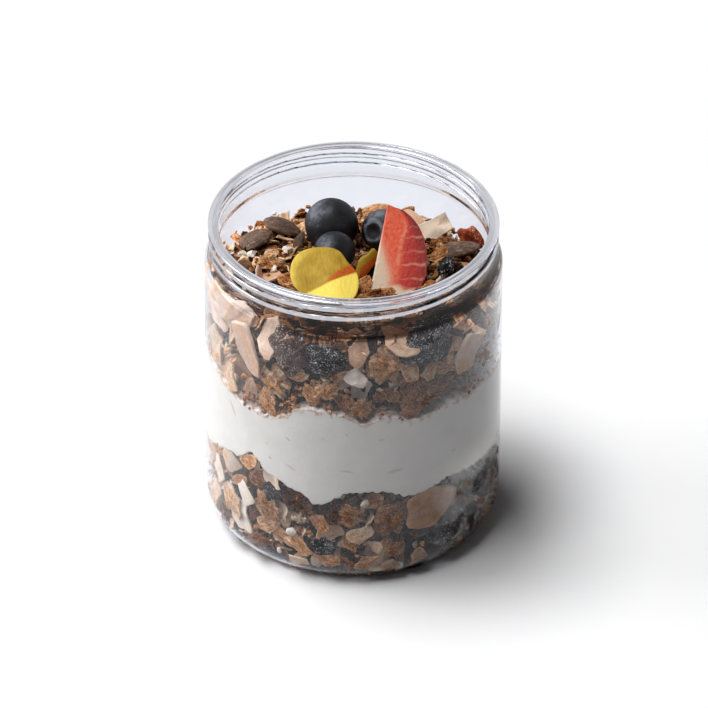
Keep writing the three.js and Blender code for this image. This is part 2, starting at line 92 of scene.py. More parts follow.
class Value:
    """One output of a shader node. Arithmetic on it adds Math nodes."""

    def __init__(self, finish, socket):
        self.finish = finish
        self.socket = socket

    def math(self, operation, *others):
        return self.finish.node("ShaderNodeMath", {"operation": operation}, [self, *others])

    def __add__(self, other):
        return self.math("ADD", other)

    def __mul__(self, other):
        return self.math("MULTIPLY", other)

    def __sub__(self, other):
        return self.math("SUBTRACT", other)

    def __rsub__(self, other):
        return self.finish.node("ShaderNodeMath", {"operation": "SUBTRACT"}, [other, self])

    __radd__ = __add__
    __rmul__ = __mul__


class Finish:
    """A material built round one Principled shader, whose constant sockets are set by name."""

    def __init__(self, name, constants):
        self.material = bpy.data.materials.new(name)
        self.material.use_nodes = True
        self.tree = self.material.node_tree
        self.shader = self.tree.nodes["Principled BSDF"]
        for socket, value in constants.items():
            self.shader.inputs[socket].default_value = value

    def node(self, kind, settings=None, inputs=(), output=0):
        """Adds a node: first its settings, among them a ramp's stops, then its inputs, in order or
        by name or number."""
        made = self.tree.nodes.new(kind)
        for key, value in (settings or {}).items():
            if key == "stops":
                ramp = made.color_ramp.elements
                while len(ramp) < len(value):
                    ramp.new(1.0)
                for stop, (position, colour) in zip(ramp, value):
                    stop.position = position
                    stop.color = colour
            else:
                setattr(made, key, value)
        pairs = inputs.items() if isinstance(inputs, dict) else enumerate(inputs)
        for key, value in pairs:
            if isinstance(value, Value):
                self.tree.links.new(value.socket, made.inputs[key])
            else:
                made.inputs[key].default_value = value
        return Value(self, made.outputs[output])

    def feed(self, socket, value):
        self.tree.links.new(value.socket, self.shader.inputs[socket])

    def place(self):
        """Where a point lies in the jar's frame, in millimetres."""
        coordinates = self.node("ShaderNodeTexCoord", output="Object")
        return self.node("ShaderNodeVectorMath", {"operation": "SCALE"}, {0: coordinates, "Scale": 1 / MM})

    def read(self, attribute):
        """A number kept on the mesh."""
        return self.node("ShaderNodeAttribute", {"attribute_name": attribute}, output="Fac")

    def read_vector(self, attribute):
        return self.node("ShaderNodeAttribute", {"attribute_name": attribute}, output="Vector")

    def stretch(self, where, x, y, z):
        """The place measured in other units along each axis."""
        return self.node("ShaderNodeVectorMath", {"operation": "MULTIPLY"}, [where, (x, y, z)])

    def noise(self, where, size, detail=3.0, harsh=0.55):
        """Cloudy noise about 0.5 whose lumps are about size millimetres across."""
        inputs = {"Vector": where, "Scale": 1 / size, "Detail": detail, "Roughness": harsh}
        return self.node("ShaderNodeTexNoise", inputs=inputs)

    def step(self, value, low, high):
        """0 below low, 1 above high, and an even slope between."""
        ends = {"Value": value, 1: low, 2: high, 3: 0.0, 4: 1.0}
        return self.node("ShaderNodeMapRange", {"clamp": True}, ends)

    def ramp(self, value, stops):
        """A colour that runs through stops of a position and a screen colour."""
        linear = [(position, srgb(*colour)) for position, colour in stops]
        return self.node("ShaderNodeValToRGB", {"stops": linear}, [value])

    def mix(self, share, first, second):
        """The first colour where share is 0 and the second where it is 1."""
        return self.node("ShaderNodeMix", {"data_type": "RGBA"}, {0: share, 6: first, 7: second}, output=2)

    def relief(self, height, depth):
        """Shades the surface as if height, from 0 to 1, raised it by depth millimetres."""
        self.feed("Normal", self.node("ShaderNodeBump", inputs={"Distance": depth * MM, "Height": height}))


def sun(name, power, azimuth, elevation, spread):
    """A soft lamp far away, seen from the jar at an azimuth from +X and an elevation, in degrees."""
    lamp = bpy.data.lights.new(name, "SUN")
    lamp.energy = power
    lamp.angle = math.radians(spread)
    turn, rise = math.radians(azimuth), math.radians(elevation)
    toward = Vector((math.cos(turn) * math.cos(rise), math.sin(turn) * math.cos(rise), math.sin(rise)))
    holder = bpy.data.objects.new(name, lamp)
    holder.rotation_mode = "QUATERNION"
    holder.rotation_quaternion = toward.to_track_quat("Z", "Y")
    bpy.context.scene.collection.objects.link(holder)


for lamp_name, lamp_values in LAMPS.items():
    sun(lamp_name, **lamp_values)

sky = bpy.data.worlds.new("sky")
sky.use_nodes = True
sky.cycles.sampling_method = "NONE"
nodes, links = sky.node_tree.nodes, sky.node_tree.links
ray, way = nodes.new("ShaderNodeLightPath"), nodes.new("ShaderNodeTexCoord")
split, rise, level = (
    nodes.new(f"ShaderNode{kind}") for kind in ("SeparateXYZ", "MapRange", "MapRange")
)
links.new(way.outputs["Generated"], split.inputs["Vector"])
links.new(split.outputs["Z"], rise.inputs["Value"])
for socket, value in {
    "From Min": WALLS_END, "From Max": CEILING_START, "To Min": SKY_LOW, "To Max": SKY_HIGH,
}.items():
    rise.inputs[socket].default_value = value
links.new(rise.outputs["Result"], level.inputs["To Min"])
level.inputs["To Max"].default_value = SKY_THROWN
links.new(ray.outputs["Diffuse Depth"], level.inputs["Value"])
links.new(level.outputs["Result"], nodes["Background"].inputs["Strength"])
nodes["Background"].inputs["Color"].default_value = SKY_COLOUR
bpy.context.scene.world = sky
bpy.context.scene.view_settings.view_transform = "Standard"

paper = Finish("white_floor", {"Roughness": 0.9, "Specular IOR Level": 0.1})
mottle = paper.noise(paper.place(), 60.0)
paper.feed("Base Color", paper.ramp(mottle, [(0.3, (247, 247, 248)), (0.7, (250, 250, 250))]))
floor_mesh = bpy.data.meshes.new("floor")
half = FLOOR_WIDTH / 2
floor_corners = [(-half, -half, 0), (half, -half, 0), (half, half, 0), (-half, half, 0)]
floor_mesh.from_pydata(floor_corners, [], [(0, 1, 2, 3)])
floor_mesh.materials.append(paper.material)
floor = bpy.data.objects.new("floor", floor_mesh)
bpy.context.scene.collection.objects.link(floor)

# ---- the jar -------------------------------------------------------------------------------------
# A blow-moulded clear plastic jar with a glossy wall, a rounded heel, a slightly raised base, a
# soft shoulder and a wide neck. A double-start thread runs round the neck under a plain flat lip.

JAR_HEIGHT = 98.0
BODY_RADIUS = 42.5
WALL = 0.8
HEEL_WALL = 0.5
HEEL_RADIUS = 10.0
FLOOR_THICKNESS = 1.6
STANDING_RING_INNER = 26.0
PUSH_UP = 1.4
SHOULDER_BOTTOM = 84.6
SHOULDER_RADIUS = 2.4
NECK_BOTTOM = 89.6
NECK_RADIUS = 40.2
MOUTH_RADIUS = 38.5
LIP_RADIUS = 41.4
LIP_BOTTOM = 97.1
LIP_EDGE = 0.4
LIP_GROOVE = 40.0
LIP_SATIN = 0.15
LIP_CLEAR = 0.3
LIP_SHINE = 0.85
CREST_SHINE = 0.6
LIP_FOOT_EDGE = 0.9
LIP_GROOVE_EDGE = 0.45
PLASTIC_TINT = (0.83, 0.85, 0.92, 1.0)
SHOULDER_SHADE_TINT = (0.024, 0.011, 0.006, 1.0)
EDGE_SHADE_TINT = (0.06, 0.06, 0.07, 1.0)
LIP_TINT = (0.95, 0.96, 1.0, 1.0)
SHADOW_TINT = (0.93, 0.94, 0.95, 1.0)
# The shoulder's dark streaks are painted shade, standing for the shaded heap seen refracted
# through it: the heights, and the turns in degrees on from a start, at which they come up, are
# full, fade and end, and what is left of them elsewhere.
BAND_HEIGHTS = (84.9, 85.8, 90.2, 91.3)
BAND_START = -130.0
BAND_TURNS = (0, 26, 130, 180)
BAND_LEAST = 0.1
# The part of the wall that reflects little, low at the right: its turns, the heights over which it
# fades, and how clear it is.
CLEAR_TURNS = (-60, -40, 0, 30)
CLEAR_HEIGHTS = (28, 40)
CLEAR_SHARE = 0.75
THREAD_RADIUS = 41.35
THREAD_STARTS = 2
THREAD_LEAD = 6.0
THREAD_LOW = 91.0
THREAD_TURNS = 0.95
THREAD_WIDTH = 1.7
THREAD_RUN_OUT = 0.04
NECK_ROW = 0.14
JAR_AROUND = 360
INNER_RADIUS = BODY_RADIUS - WALL
HEEL_INNER = HEEL_RADIUS - HEEL_WALL
STANDING = BODY_RADIUS - HEEL_RADIUS


def skin(name, grids, finish, nodes, fields=None, crease=None):
    """One mesh of closed surfaces. grids holds pieces, rings, points around and x, y, z in
    millimetres; each piece's first and last ring is a single point. Rings run outwards and down
    from the first, and points run anticlockwise seen from it, so faces point out. fields are
    numbers or vectors kept at the points. Edges sharper than crease degrees stay crisp."""
    pieces, rings, around = grids.shape[:3]

    def shared(values):
        inner = values[:, 1:-1].reshape(pieces, (rings - 2) * around, -1)
        ends = values[:, [0, -1], 0].reshape(pieces, 2, -1)
        return np.concatenate([ends[:, :1], inner, ends[:, 1:]], axis=1).reshape(-1, inner.shape[-1])

    ring = 1 + around * np.arange(rings - 2)[:, None] + np.arange(around)
    onward = np.roll(ring, -1, axis=1)
    last = 1 + around * (rings - 2)
    top = np.stack([np.zeros(around, int), ring[0], onward[0]], axis=1)
    sides = np.stack([ring[:-1], ring[1:], onward[1:], onward[:-1]], axis=-1).reshape(-1, 4)
    foot = np.stack([ring[-1], np.full(around, last), onward[-1]], axis=1)
    corners = np.concatenate([top.ravel(), sides.ravel(), foot.ravel()])
    sizes = np.concatenate([np.full(around, 3), np.full(len(sides), 4), np.full(around, 3)])
    corners = (corners + (last + 1) * np.arange(pieces)[:, None]).ravel()
    sizes = np.tile(sizes, pieces)

    mesh = bpy.data.meshes.new(name)
    points = shared(grids)
    mesh.vertices.add(len(points))
    mesh.vertices.foreach_set("co", (points * MM).astype(np.float32).ravel())
    mesh.loops.add(len(corners))
    mesh.loops.foreach_set("vertex_index", corners.astype(np.int32))
    mesh.polygons.add(len(sizes))
    mesh.polygons.foreach_set("loop_start", (np.cumsum(sizes) - sizes).astype(np.int32))
    mesh.update(calc_edges=True)
    mesh.validate()
    mesh.shade_smooth()
    if crease:
        mesh.set_sharp_from_angle(angle=math.radians(crease))
    for key, values in (fields or {}).items():
        flat = shared(np.broadcast_to(values, grids.shape[:3] + values.shape[3:]))
        kind, entry = ("FLOAT", "value") if flat.shape[1] == 1 else ("FLOAT_VECTOR", "vector")
        mesh.attributes.new(key, kind, "POINT").data.foreach_set(entry, flat.astype(np.float32).ravel())
    mesh.materials.append(finish.material)
    piece = bpy.data.objects.new(name, mesh)
    bpy.context.scene.collection.objects.link(piece)
    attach(piece, "root")
    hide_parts(*nodes)
    return piece


def arc(radius, height, size, start, end, steps):
    """Radius and height along an arc about a centre, angles in degrees from the outward direction."""
    angle = np.radians(np.linspace(start, end, steps))
    return np.stack([radius + size * np.cos(angle), height + size * np.sin(angle)], axis=1)


def turned(profile, around):
    """Turns a profile of radii and heights about the jar's axis: one piece of rings of points."""
    angle = 2 * np.pi * np.arange(around) / around
    radius = profile[:, :1]
    height = np.broadcast_to(profile[:, 1:], (len(profile), around))
    return np.stack([radius * np.cos(angle), radius * np.sin(angle), height], axis=-1)[None]


def smooth_step(value, low=0.0, high=1.0):
    """0 below low, 1 above high, and an S-shaped rise between."""
    share = np.clip((value - low) / (high - low), 0.0, 1.0)
    return share * share * (3 - 2 * share)


def plateau(value, rise, full, fall, end):
    """0 up to rise, 1 from full to fall and 0 from end on, with S-shaped slopes between."""
    return smooth_step(value, rise, full) * (1 - smooth_step(value, fall, end))


def thread_share(angle, height):
    """How far the thread stands out, from 0 to 1: for each start a rounded ridge that climbs by the
    lead in a turn and fades out at its ends."""
    share = np.zeros_like(height)
    for start in range(THREAD_STARTS):
        begin = 2 * np.pi * start / THREAD_STARTS
        along = ((angle - begin) / (2 * np.pi)) % 1.0
        across = np.abs(height - THREAD_LOW - THREAD_LEAD * along) / (THREAD_WIDTH / 2)
        ends = np.minimum(along, THREAD_TURNS - along) / THREAD_RUN_OUT
        share = np.maximum(share, smooth_step(2 * (1.2 - across)) * np.clip(ends, 0.0, 1.0))
    return share


neck_rows = np.arange(LIP_BOTTOM, NECK_BOTTOM, -NECK_ROW)
jar_profile = np.concatenate([
    [[0, PUSH_UP + FLOOR_THICKNESS], [12, PUSH_UP * 0.95 + FLOOR_THICKNESS]],
    [[STANDING_RING_INNER - 2, PUSH_UP * 0.75 + FLOOR_THICKNESS]],
    arc(STANDING, HEEL_RADIUS, HEEL_INNER, -68, 0, 18),
    [[INNER_RADIUS, HEEL_RADIUS + 2]],
    [[INNER_RADIUS, z] for z in np.linspace(14, SHOULDER_BOTTOM - 2, 12)],
    [[INNER_RADIUS, SHOULDER_BOTTOM - 0.8], [INNER_RADIUS - 0.1, SHOULDER_BOTTOM + 0.1]],
    [[INNER_RADIUS - 0.4, SHOULDER_BOTTOM + 0.9], [INNER_RADIUS - 1.1, SHOULDER_BOTTOM + 1.9]],
    [[MOUTH_RADIUS + 0.9, NECK_BOTTOM - 2.1], [MOUTH_RADIUS + 0.25, NECK_BOTTOM - 1.0]],
    [[MOUTH_RADIUS, z] for z in np.linspace(NECK_BOTTOM, JAR_HEIGHT - LIP_EDGE - 0.2, 8)],
    arc(MOUTH_RADIUS + LIP_EDGE, JAR_HEIGHT - LIP_EDGE, LIP_EDGE, 180, 90, 6),
    [[LIP_GROOVE - 0.22, JAR_HEIGHT], [LIP_GROOVE, JAR_HEIGHT - 0.18], [LIP_GROOVE + 0.22, JAR_HEIGHT]],
    arc(LIP_RADIUS - LIP_EDGE, JAR_HEIGHT - LIP_EDGE, LIP_EDGE, 90, 0, 6),
    [[LIP_RADIUS, LIP_BOTTOM + 0.25], [LIP_RADIUS - 0.1, LIP_BOTTOM + 0.08]],
    [[NECK_RADIUS, z] for z in neck_rows],
    [[NECK_RADIUS + 0.05, NECK_BOTTOM - 0.5], [NECK_RADIUS + 0.35, NECK_BOTTOM - 1.2]],
    arc(BODY_RADIUS - SHOULDER_RADIUS, SHOULDER_BOTTOM, SHOULDER_RADIUS, 55, 0, 12),
    [[BODY_RADIUS, z] for z in np.linspace(SHOULDER_BOTTOM - 1, HEEL_RADIUS + 1, 12)],
    arc(STANDING, HEEL_RADIUS, HEEL_RADIUS, 0, -90, 22),
    [[STANDING_RING_INNER, 0], [STANDING_RING_INNER - 4, PUSH_UP * 0.8], [0, PUSH_UP]],
])
jar_rings = turned(jar_profile, JAR_AROUND)
jar_radius = np.hypot(jar_rings[..., 0], jar_rings[..., 1])
jar_angle = np.arctan2(jar_rings[..., 1], jar_rings[..., 0])
on_neck = np.abs(jar_radius - NECK_RADIUS) < 0.01
grown = NECK_RADIUS + (THREAD_RADIUS - NECK_RADIUS) * thread_share(jar_angle, jar_rings[..., 2])
jar_rings[..., :2] *= np.where(on_neck, grown / np.maximum(jar_radius, 1.0), 1.0)[..., None]

plastic = Finish("clear_plastic", {
    "Transmission Weight": 1.0,
    "IOR": 1.49,
    "Specular Tint": (0.5, 0.5, 0.5, 1.0),
})
flow = plastic.noise(plastic.stretch(plastic.place(), 1.0, 1.0, 0.35), 9.0, 2.0)
streaks = plastic.noise(plastic.stretch(plastic.place(), 0.13, 0.13, 1.7), 1.0, 3.0, 0.6)
# Painted shade: dark streaks in the plastic's colour at the shoulder.
band = plastic.read("shoulder") * plastic.step(streaks, 0.22, 0.42)
tint = plastic.mix(band, PLASTIC_TINT, SHOULDER_SHADE_TINT)
tint = plastic.mix(plastic.read("edge") * 0.85, tint, EDGE_SHADE_TINT)
plastic.feed("Base Color", plastic.mix(plastic.read("satin") * 0.8, tint, LIP_TINT))
plastic.feed("Roughness", plastic.step(flow, 0.3, 0.8) * 0.01 + plastic.read("satin") * LIP_SATIN)
plastic.feed("Metallic", plastic.read("shine"))
plastic.feed("Alpha", 1 - plastic.read("clear"))
plastic.relief(flow, 0.012)
clear = plastic.node("ShaderNodeBsdfTransparent", inputs=[SHADOW_TINT])
lamp_ray = plastic.node("ShaderNodeLightPath", output="Is Shadow Ray")
whole = Value(plastic, plastic.shader.outputs["BSDF"])
either = plastic.node("ShaderNodeMixShader", inputs=[lamp_ray, whole, clear])
plastic.tree.links.new(either.socket, plastic.tree.nodes["Material Output"].inputs["Surface"])
jar_level, jar_turn = jar_rings[..., 2], np.degrees(jar_angle)
satin = smooth_step(jar_level, JAR_HEIGHT - 0.5, JAR_HEIGHT - 0.1)
flank = thread_share(jar_angle, jar_level)
# Painted shade: dark lines along the thread's flanks, under the lip and in its groove stand for the dark
# refraction at these edges.
edge = np.where(on_neck, 4 * flank * (1 - flank), 0.0)
lip_foot = (jar_level > LIP_BOTTOM - 0.05) & (jar_level < LIP_BOTTOM + 0.15)
edge = np.maximum(edge, LIP_FOOT_EDGE * (lip_foot & (jar_radius > NECK_RADIUS - 0.01)))
edge = np.maximum(edge, LIP_GROOVE_EDGE * (np.abs(jar_radius - LIP_GROOVE) < 0.1) * satin)
outside = jar_radius > INNER_RADIUS + 0.05 - 2.6 * smooth_step(jar_level, 86.0, 88.6)
round_jar = plateau((jar_turn - BAND_START) % 360, *BAND_TURNS)
shoulder = plateau(jar_level, *BAND_HEIGHTS) * outside * (BAND_LEAST + (1 - BAND_LEAST) * round_jar)
crest = on_neck * smooth_step(flank, 0.8, 1.0) * smooth_step(-np.sin(jar_angle), -0.2, 0.3)
low_right = plateau(jar_turn, *CLEAR_TURNS) * (1 - smooth_step(jar_level, *CLEAR_HEIGHTS))
skin("clear_jar", jar_rings, plastic, ["jar"], {
    "satin": satin,
    "edge": edge,
    "shoulder": shoulder,
    "clear": np.maximum(LIP_CLEAR * satin, CLEAR_SHARE * low_right),
    "shine": np.maximum(LIP_SHINE * satin, CREST_SHINE * crest),
})

# ---- the yogurt ----------------------------------------------------------------------------------
# Thick white yogurt spooned in as one layer. It lies against the wall with a lobed lower border
# and a dented upper one with golden crumbs smeared into it. Thin orange fibres of fruit show
# through it at the wall.

YOGURT_BITE = 0.15
YOGURT_EDGE = 0.6
YOGURT_FOOT = np.array([
    [-169, 29], [-142, 34.6], [-133, 38.8], [-124, 34], [-113, 31.6], [-104, 28], [-91, 32.8],
    [-80, 32.9], [-65, 29.6], [-50, 31.6], [-22, 29.4], [10, 27], [60, 31], [120, 28],
])
YOGURT_HEAD = np.array([
    [-167, 59.8], [-135, 54.7], [-124, 55], [-108, 61.2], [-95, 60.2], [-85, 57.2], [-78, 59.2],
    [-64, 56.2], [-50, 58], [-20, 56.8], [20, 55], [75, 58.5], [130, 56],
])
YOGURT_FOOT_LEVEL = 31.0
YOGURT_HEAD_LEVEL = 57.5
YOGURT_AROUND = 720
YOGURT_WALL_ROWS = 56
# How strongly crumbs are smeared over the top and into the border, and how far down they reach.
SMEAR_ON_TOP = 0.6
SMEAR_AT_BORDER = 0.9
SMEAR_REACH = 1.6
# Each fibre's angle in degrees, height, length, width and tilt in degrees.
FIBRES = [
    (-144, 50.5, 5.0, 0.9, -60), (-116, 49.0, 1.8, 0.7, -30), (-101.5, 51.5, 1.6, 0.6, 5),
    (-79, 51.2, 2.2, 0.5, 0), (-125.5, 45.0, 0.7, 0.7, 0), (-124, 40.5, 1.3, 0.8, 0),
    (-115, 39.5, 3.4, 0.7, -25), (-92.5, 40.7, 4.0, 0.6, -5), (-73.5, 39.8, 4.6, 0.9, 10),
    (-47, 40.5, 1.6, 0.6, 30), (-92.5, 53.5, 0.7, 0.8, 0), (-155, 44.0, 0.8, 0.6, 0),
    (-30, 47.0, 0.7, 0.6, 0), (35, 44.0, 4.2, 0.7, 8), (80, 49.0, 2.4, 0.6, -20),
    (120, 41.0, 3.6, 0.7, 12), (160, 47.0, 1.8, 0.6, -35), (60, 38.0, 2.0, 0.5, 0),
]


def along_wall(pairs, angle):
    """Height of a border at an angle, easing from each pair of degrees and height to the next."""
    ends = np.concatenate([pairs[-1:] - [360, 0], pairs, pairs[:1] + [360, 0]])
    degrees = (np.degrees(angle) + 180) % 360 - 180
    after = np.clip(np.searchsorted(ends[:, 0], degrees, side="right"), 1, len(ends) - 1)
    start, end = ends[after - 1], ends[after]
    share = smooth_step((degrees - start[..., 0]) / (end[..., 0] - start[..., 0]))
    return start[..., 1] + (end[..., 1] - start[..., 1]) * share


def ripple(angle, seed, pitches, size):
    """A closed wavy line round the jar: whole numbers of waves with seeded phases and heights."""
    rng = np.random.default_rng(seed)
    waves = [rng.uniform(0.4, 1) * np.sin(n * angle + rng.uniform(0, 2 * np.pi)) for n in pitches]
    return size * np.sum(waves, axis=0) / math.sqrt(len(pitches))


def foot_height(angle):
    """The yogurt's lower border: lobes that hang down, so each wave's lower half is rounder."""
    wave = ripple(angle, 5, [29, 41, 53, 71], 1.0)
    return along_wall(YOGURT_FOOT, angle) + 0.75 * (0.5 - np.abs(wave)) + ripple(angle, 6, [97, 131], 0.16)


def head_height(angle):
    """The yogurt's upper border, pressed uneven by the crumbs on it."""
    return along_wall(YOGURT_HEAD, angle) + ripple(angle, 8, [23, 37, 61, 89, 127], 0.4)


def border(line, level, angle, radius):
    """A border surface: level inside, following the wall's line towards the wall."""
    return level + (line(angle) - level) * np.minimum(radius / INNER_RADIUS, 1.0) ** 3


yogurt_radius = INNER_RADIUS + YOGURT_BITE
disc = np.linspace(0, 1, 14)[:-1] * (yogurt_radius - YOGURT_EDGE)
edge = np.radians(np.linspace(90, 0, 7))
angle = 2 * np.pi * np.arange(YOGURT_AROUND) / YOGURT_AROUND
foot, head = foot_height(angle), head_height(angle)
head_rows = [(r + 0 * angle, border(head_height, YOGURT_HEAD_LEVEL, angle, r)) for r in disc]
head_rows += [
    (yogurt_radius - YOGURT_EDGE * (1 - np.cos(a)) + 0 * angle, head - YOGURT_EDGE * (1 - np.sin(a)))
    for a in edge
]
wall_shares = np.linspace(0, 1, YOGURT_WALL_ROWS)[1:-1, None]
wall_heights = (head - YOGURT_EDGE) + (foot - head + 2 * YOGURT_EDGE) * wall_shares
wall_rows = [(yogurt_radius + 0 * angle, z) for z in wall_heights]
foot_rows = [
    (yogurt_radius - YOGURT_EDGE * (1 - np.cos(a)) + 0 * angle, foot + YOGURT_EDGE * (1 - np.sin(a)))
    for a in edge[::-1]
]
foot_rows += [(r + 0 * angle, border(foot_height, YOGURT_FOOT_LEVEL, angle, r)) for r in disc[::-1]]
radii, heights = (np.array(v) for v in zip(*(head_rows + wall_rows + foot_rows)))
heights[0], heights[-1] = heights[0].mean(), heights[-1].mean()
yogurt_rings = np.stack([radii * np.cos(angle), radii * np.sin(angle), heights], axis=-1)[None]

fibre = np.zeros(heights.shape)
for degrees, height, length, width, tilt in FIBRES:
    sideways = INNER_RADIUS * ((angle - math.radians(degrees) + np.pi) % (2 * np.pi) - np.pi)
    upwards = heights - height
    turn = math.radians(tilt)
    u = sideways * math.cos(turn) + upwards * math.sin(turn)
    v = upwards * math.cos(turn) - sideways * math.sin(turn) + 0.04 * u * u
    spot = np.exp(-((2 * u / length) ** 4) - (2 * v / width) ** 2)
    fibre = np.maximum(fibre, spot)
smear = SMEAR_AT_BORDER * np.exp(-np.maximum(head - heights, 0) / SMEAR_REACH)
smear = smear * (1 + 0.3 * ripple(angle, 12, [5, 9, 17], 1.0))
smear = np.where(np.arange(len(heights))[:, None] < len(head_rows), SMEAR_ON_TOP, smear)

yogurt = Finish("yogurt", {
    "Subsurface Weight": 0.15,
    "Subsurface Radius": (0.0016, 0.0013, 0.001),
    "Subsurface Scale": 1.0,
    "Specular IOR Level": 0.4,
})
cloud = yogurt.noise(yogurt.place(), 7.0)
pores = yogurt.noise(yogurt.place(), 0.9)
plain = yogurt.ramp(cloud, [(0.3, (225, 221, 214)), (0.7, (232, 229, 222))])
tinted = yogurt.mix(yogurt.step(yogurt.read("fibre"), 0.1, 0.9) * 0.5, plain, srgb(192, 144, 114))
crumbs = yogurt.noise(yogurt.place(), 1.1, 4.0, 0.65)
crumbed = yogurt.ramp(crumbs, [(0.3, (104, 60, 28)), (0.5, (168, 114, 62)), (0.7, (212, 172, 122))])
torn = yogurt.read("smear") + (yogurt.noise(yogurt.place(), 1.9, 5.0, 0.7) - 0.5) * 1.9
stained = yogurt.mix(yogurt.step(torn, 0.42, 0.9) * 0.9, tinted, crumbed)
yogurt.feed("Base Color", stained)
yogurt.feed("Roughness", pores * 0.2 + 0.32)
yogurt.relief(pores * 0.3 + cloud, 0.25)
skin("yogurt_layer", yogurt_rings, yogurt, ["yogurt"], {
    "fibre": fibre[None], "smear": np.broadcast_to(smear, heights.shape)[None],
})

# ---- the granola's loose pieces ------------------------------------------------------------------
# Rolled oats, crumbs, clusters, nut slices, coconut chips, dried fruit, seeds and puffed bits.
# Each is a closed pebble or plate, and no two are alike. They are laid one by one on a bed, an
# unrolled surface that keeps how high it is filled.


def ball_rows(rings):
    """Radius and height of the rings of a unit ball, from the top pole down."""
    low = np.linspace(0, np.pi, rings)
    return np.stack([np.sin(low), np.cos(low)], axis=1)


FLAKE_ROWS = np.array([[0, 1], [0.62, 1], [1, 0.4], [1, -0.4], [0.62, -1], [0, -1]])
PLATE_EDGE = [[0, 1], [0.4, 1], [0.75, 1], [0.94, 0.95], [1, 0.45]]
PLATE_ROWS = np.array(PLATE_EDGE + [[r, -z] for r, z in PLATE_EDGE[::-1]])

# Each kind's half sizes along, across and thick, its rings and points around, the corners of its
# outline, how wavy and ragged that is, how the one end narrows, how deep it is knocked or crumpled
# by waves of a pitch, how far its ends curl, and the angle from which its edges are crisp. What a
# kind doesn't give is as in PLAIN.
PLAIN = dict(corners=0, wavy=0.0, taper=0.0, knock=0.0, crumple=0.0, curl=0.0, crease=30)
KINDS = {
    "oat": dict(half=(3.7, 2.6, 0.36), rows=FLAKE_ROWS, around=14, corners=6, wavy=0.06, ragged=0.1,
                taper=0.12, crumple=0.5, pitch=0.95, curl=0.8, crease=32),
    "crumb": dict(half=(1.25, 0.9, 0.5), rows=ball_rows(5), around=6, ragged=0.15, knock=0.4, pitch=1.6),
    "grit": dict(half=(0.8, 0.6, 0.4), rows=ball_rows(4), around=5, ragged=0.2, knock=0.3, pitch=2.0),
    "lump": dict(half=(3.9, 3.3, 2.0), rows=ball_rows(21), around=32, ragged=0.05, taper=0.1, knock=0.46,
                 pitch=0.6, crease=35),
    "slice": dict(half=(6.6, 3.7, 0.45), rows=PLATE_ROWS, around=32, corners=6, wavy=0.035, ragged=0.02,
                  taper=0.25, crumple=0.3, pitch=1.1, curl=0.9),
    "chip": dict(half=(4.2, 3.1, 0.36), rows=PLATE_ROWS, around=26, corners=4, wavy=0.012, ragged=0.05,
                 taper=0.1, crumple=0.36, pitch=1.1, curl=1.1),
    "raisin": dict(half=(4.6, 3.6, 1.8), rows=ball_rows(22), around=32, ragged=0.02, taper=0.1, knock=0.2,
                   pitch=0.9, crease=None),
    "dried": dict(half=(3.6, 3.0, 2.1), rows=ball_rows(18), around=26, wavy=0.05, ragged=0.04, taper=0.3,
                  knock=0.26, pitch=1.0, crease=None),
    "seed": dict(half=(5.4, 3.0, 1.4), rows=ball_rows(13), around=22, ragged=0.0, taper=0.3, knock=0.05,
                 pitch=1.2, curl=0.3, crease=None),
    "puff": dict(half=(1.8, 1.3, 0.8), rows=ball_rows(8), around=10, corners=5, ragged=0.1, knock=0.3,
                 pitch=1.0, crease=40),
}
KINDS = {kind: {**PLAIN, **own} for kind, own in KINDS.items()}


def waves_on(points, pitch, rng, number=7):
    """For each piece, a sum of plane waves about pitch long at its points, from -1 to 1 or so."""
    along = rng.normal(size=(len(points), number, 3)) * (2 * np.pi / pitch) / math.sqrt(3)
    phase = rng.uniform(0, 2 * np.pi, (len(points), 1, 1, number))
    return np.sin(np.einsum("puvk,pwk->puvw", points, along) + phase).mean(axis=-1) * 2


def shaped(kind, size, rng):
    """Pieces of a kind and of given sizes, in millimetres about their own middles: rings cut to a
    cornered, ragged outline that narrows to one end, knocked uneven, crumpled and curled."""
    k, count = KINDS[kind], len(size)
    side = 2 * np.pi * np.arange(k["around"]) / k["around"]
    flat, rise = k["rows"][:, :1], np.broadcast_to(k["rows"][:, 1:], (len(k["rows"]), len(side)))
    points = np.stack([flat * np.cos(side), flat * np.sin(side), rise], axis=-1) * np.ones((count, 1, 1, 1))
    reach = 1 + k["ragged"] * rng.uniform(-1, 1, (count, len(side)))
    orders = np.arange(2, 6)[:, None]
    reach += k["wavy"] * np.cos(orders * side + rng.uniform(0, 2 * np.pi, (count, 4, 1))).sum(axis=1)
    if k["corners"]:
        faces = np.arange(k["corners"]) + rng.uniform(-0.3, 0.3, (count, k["corners"]))
        apart = side[None, :, None] - 2 * np.pi * faces[:, None] / k["corners"]
        cut = rng.uniform(0.68, 1.05, faces.shape)[:, None] / np.maximum(np.cos(apart), 0.2)
        reach = reach * np.minimum(cut.min(axis=-1), 1.25)
    points[..., :2] *= reach[:, None, :, None]
    points[..., 1] *= 1 - k["taper"] * points[..., 0]
    points *= (1 + k["knock"] * waves_on(points, k["pitch"], rng))[..., None]
    crumple = k["crumple"] * waves_on(points * [1, 1, 0], k["pitch"], rng)
    curl, twist = k["curl"] * rng.uniform(-1, 1, (2, count, 1, 1))
    bend = crumple + curl * points[..., 0] ** 2 + 0.6 * twist * points[..., 0] * points[..., 1]
    stretch = np.array(k["half"]) * size[:, None] * rng.uniform(0.85, 1.15, (count, 3))
    points = points * stretch[:, None, None]
    points[..., 2] += bend * size[:, None, None]
    return points


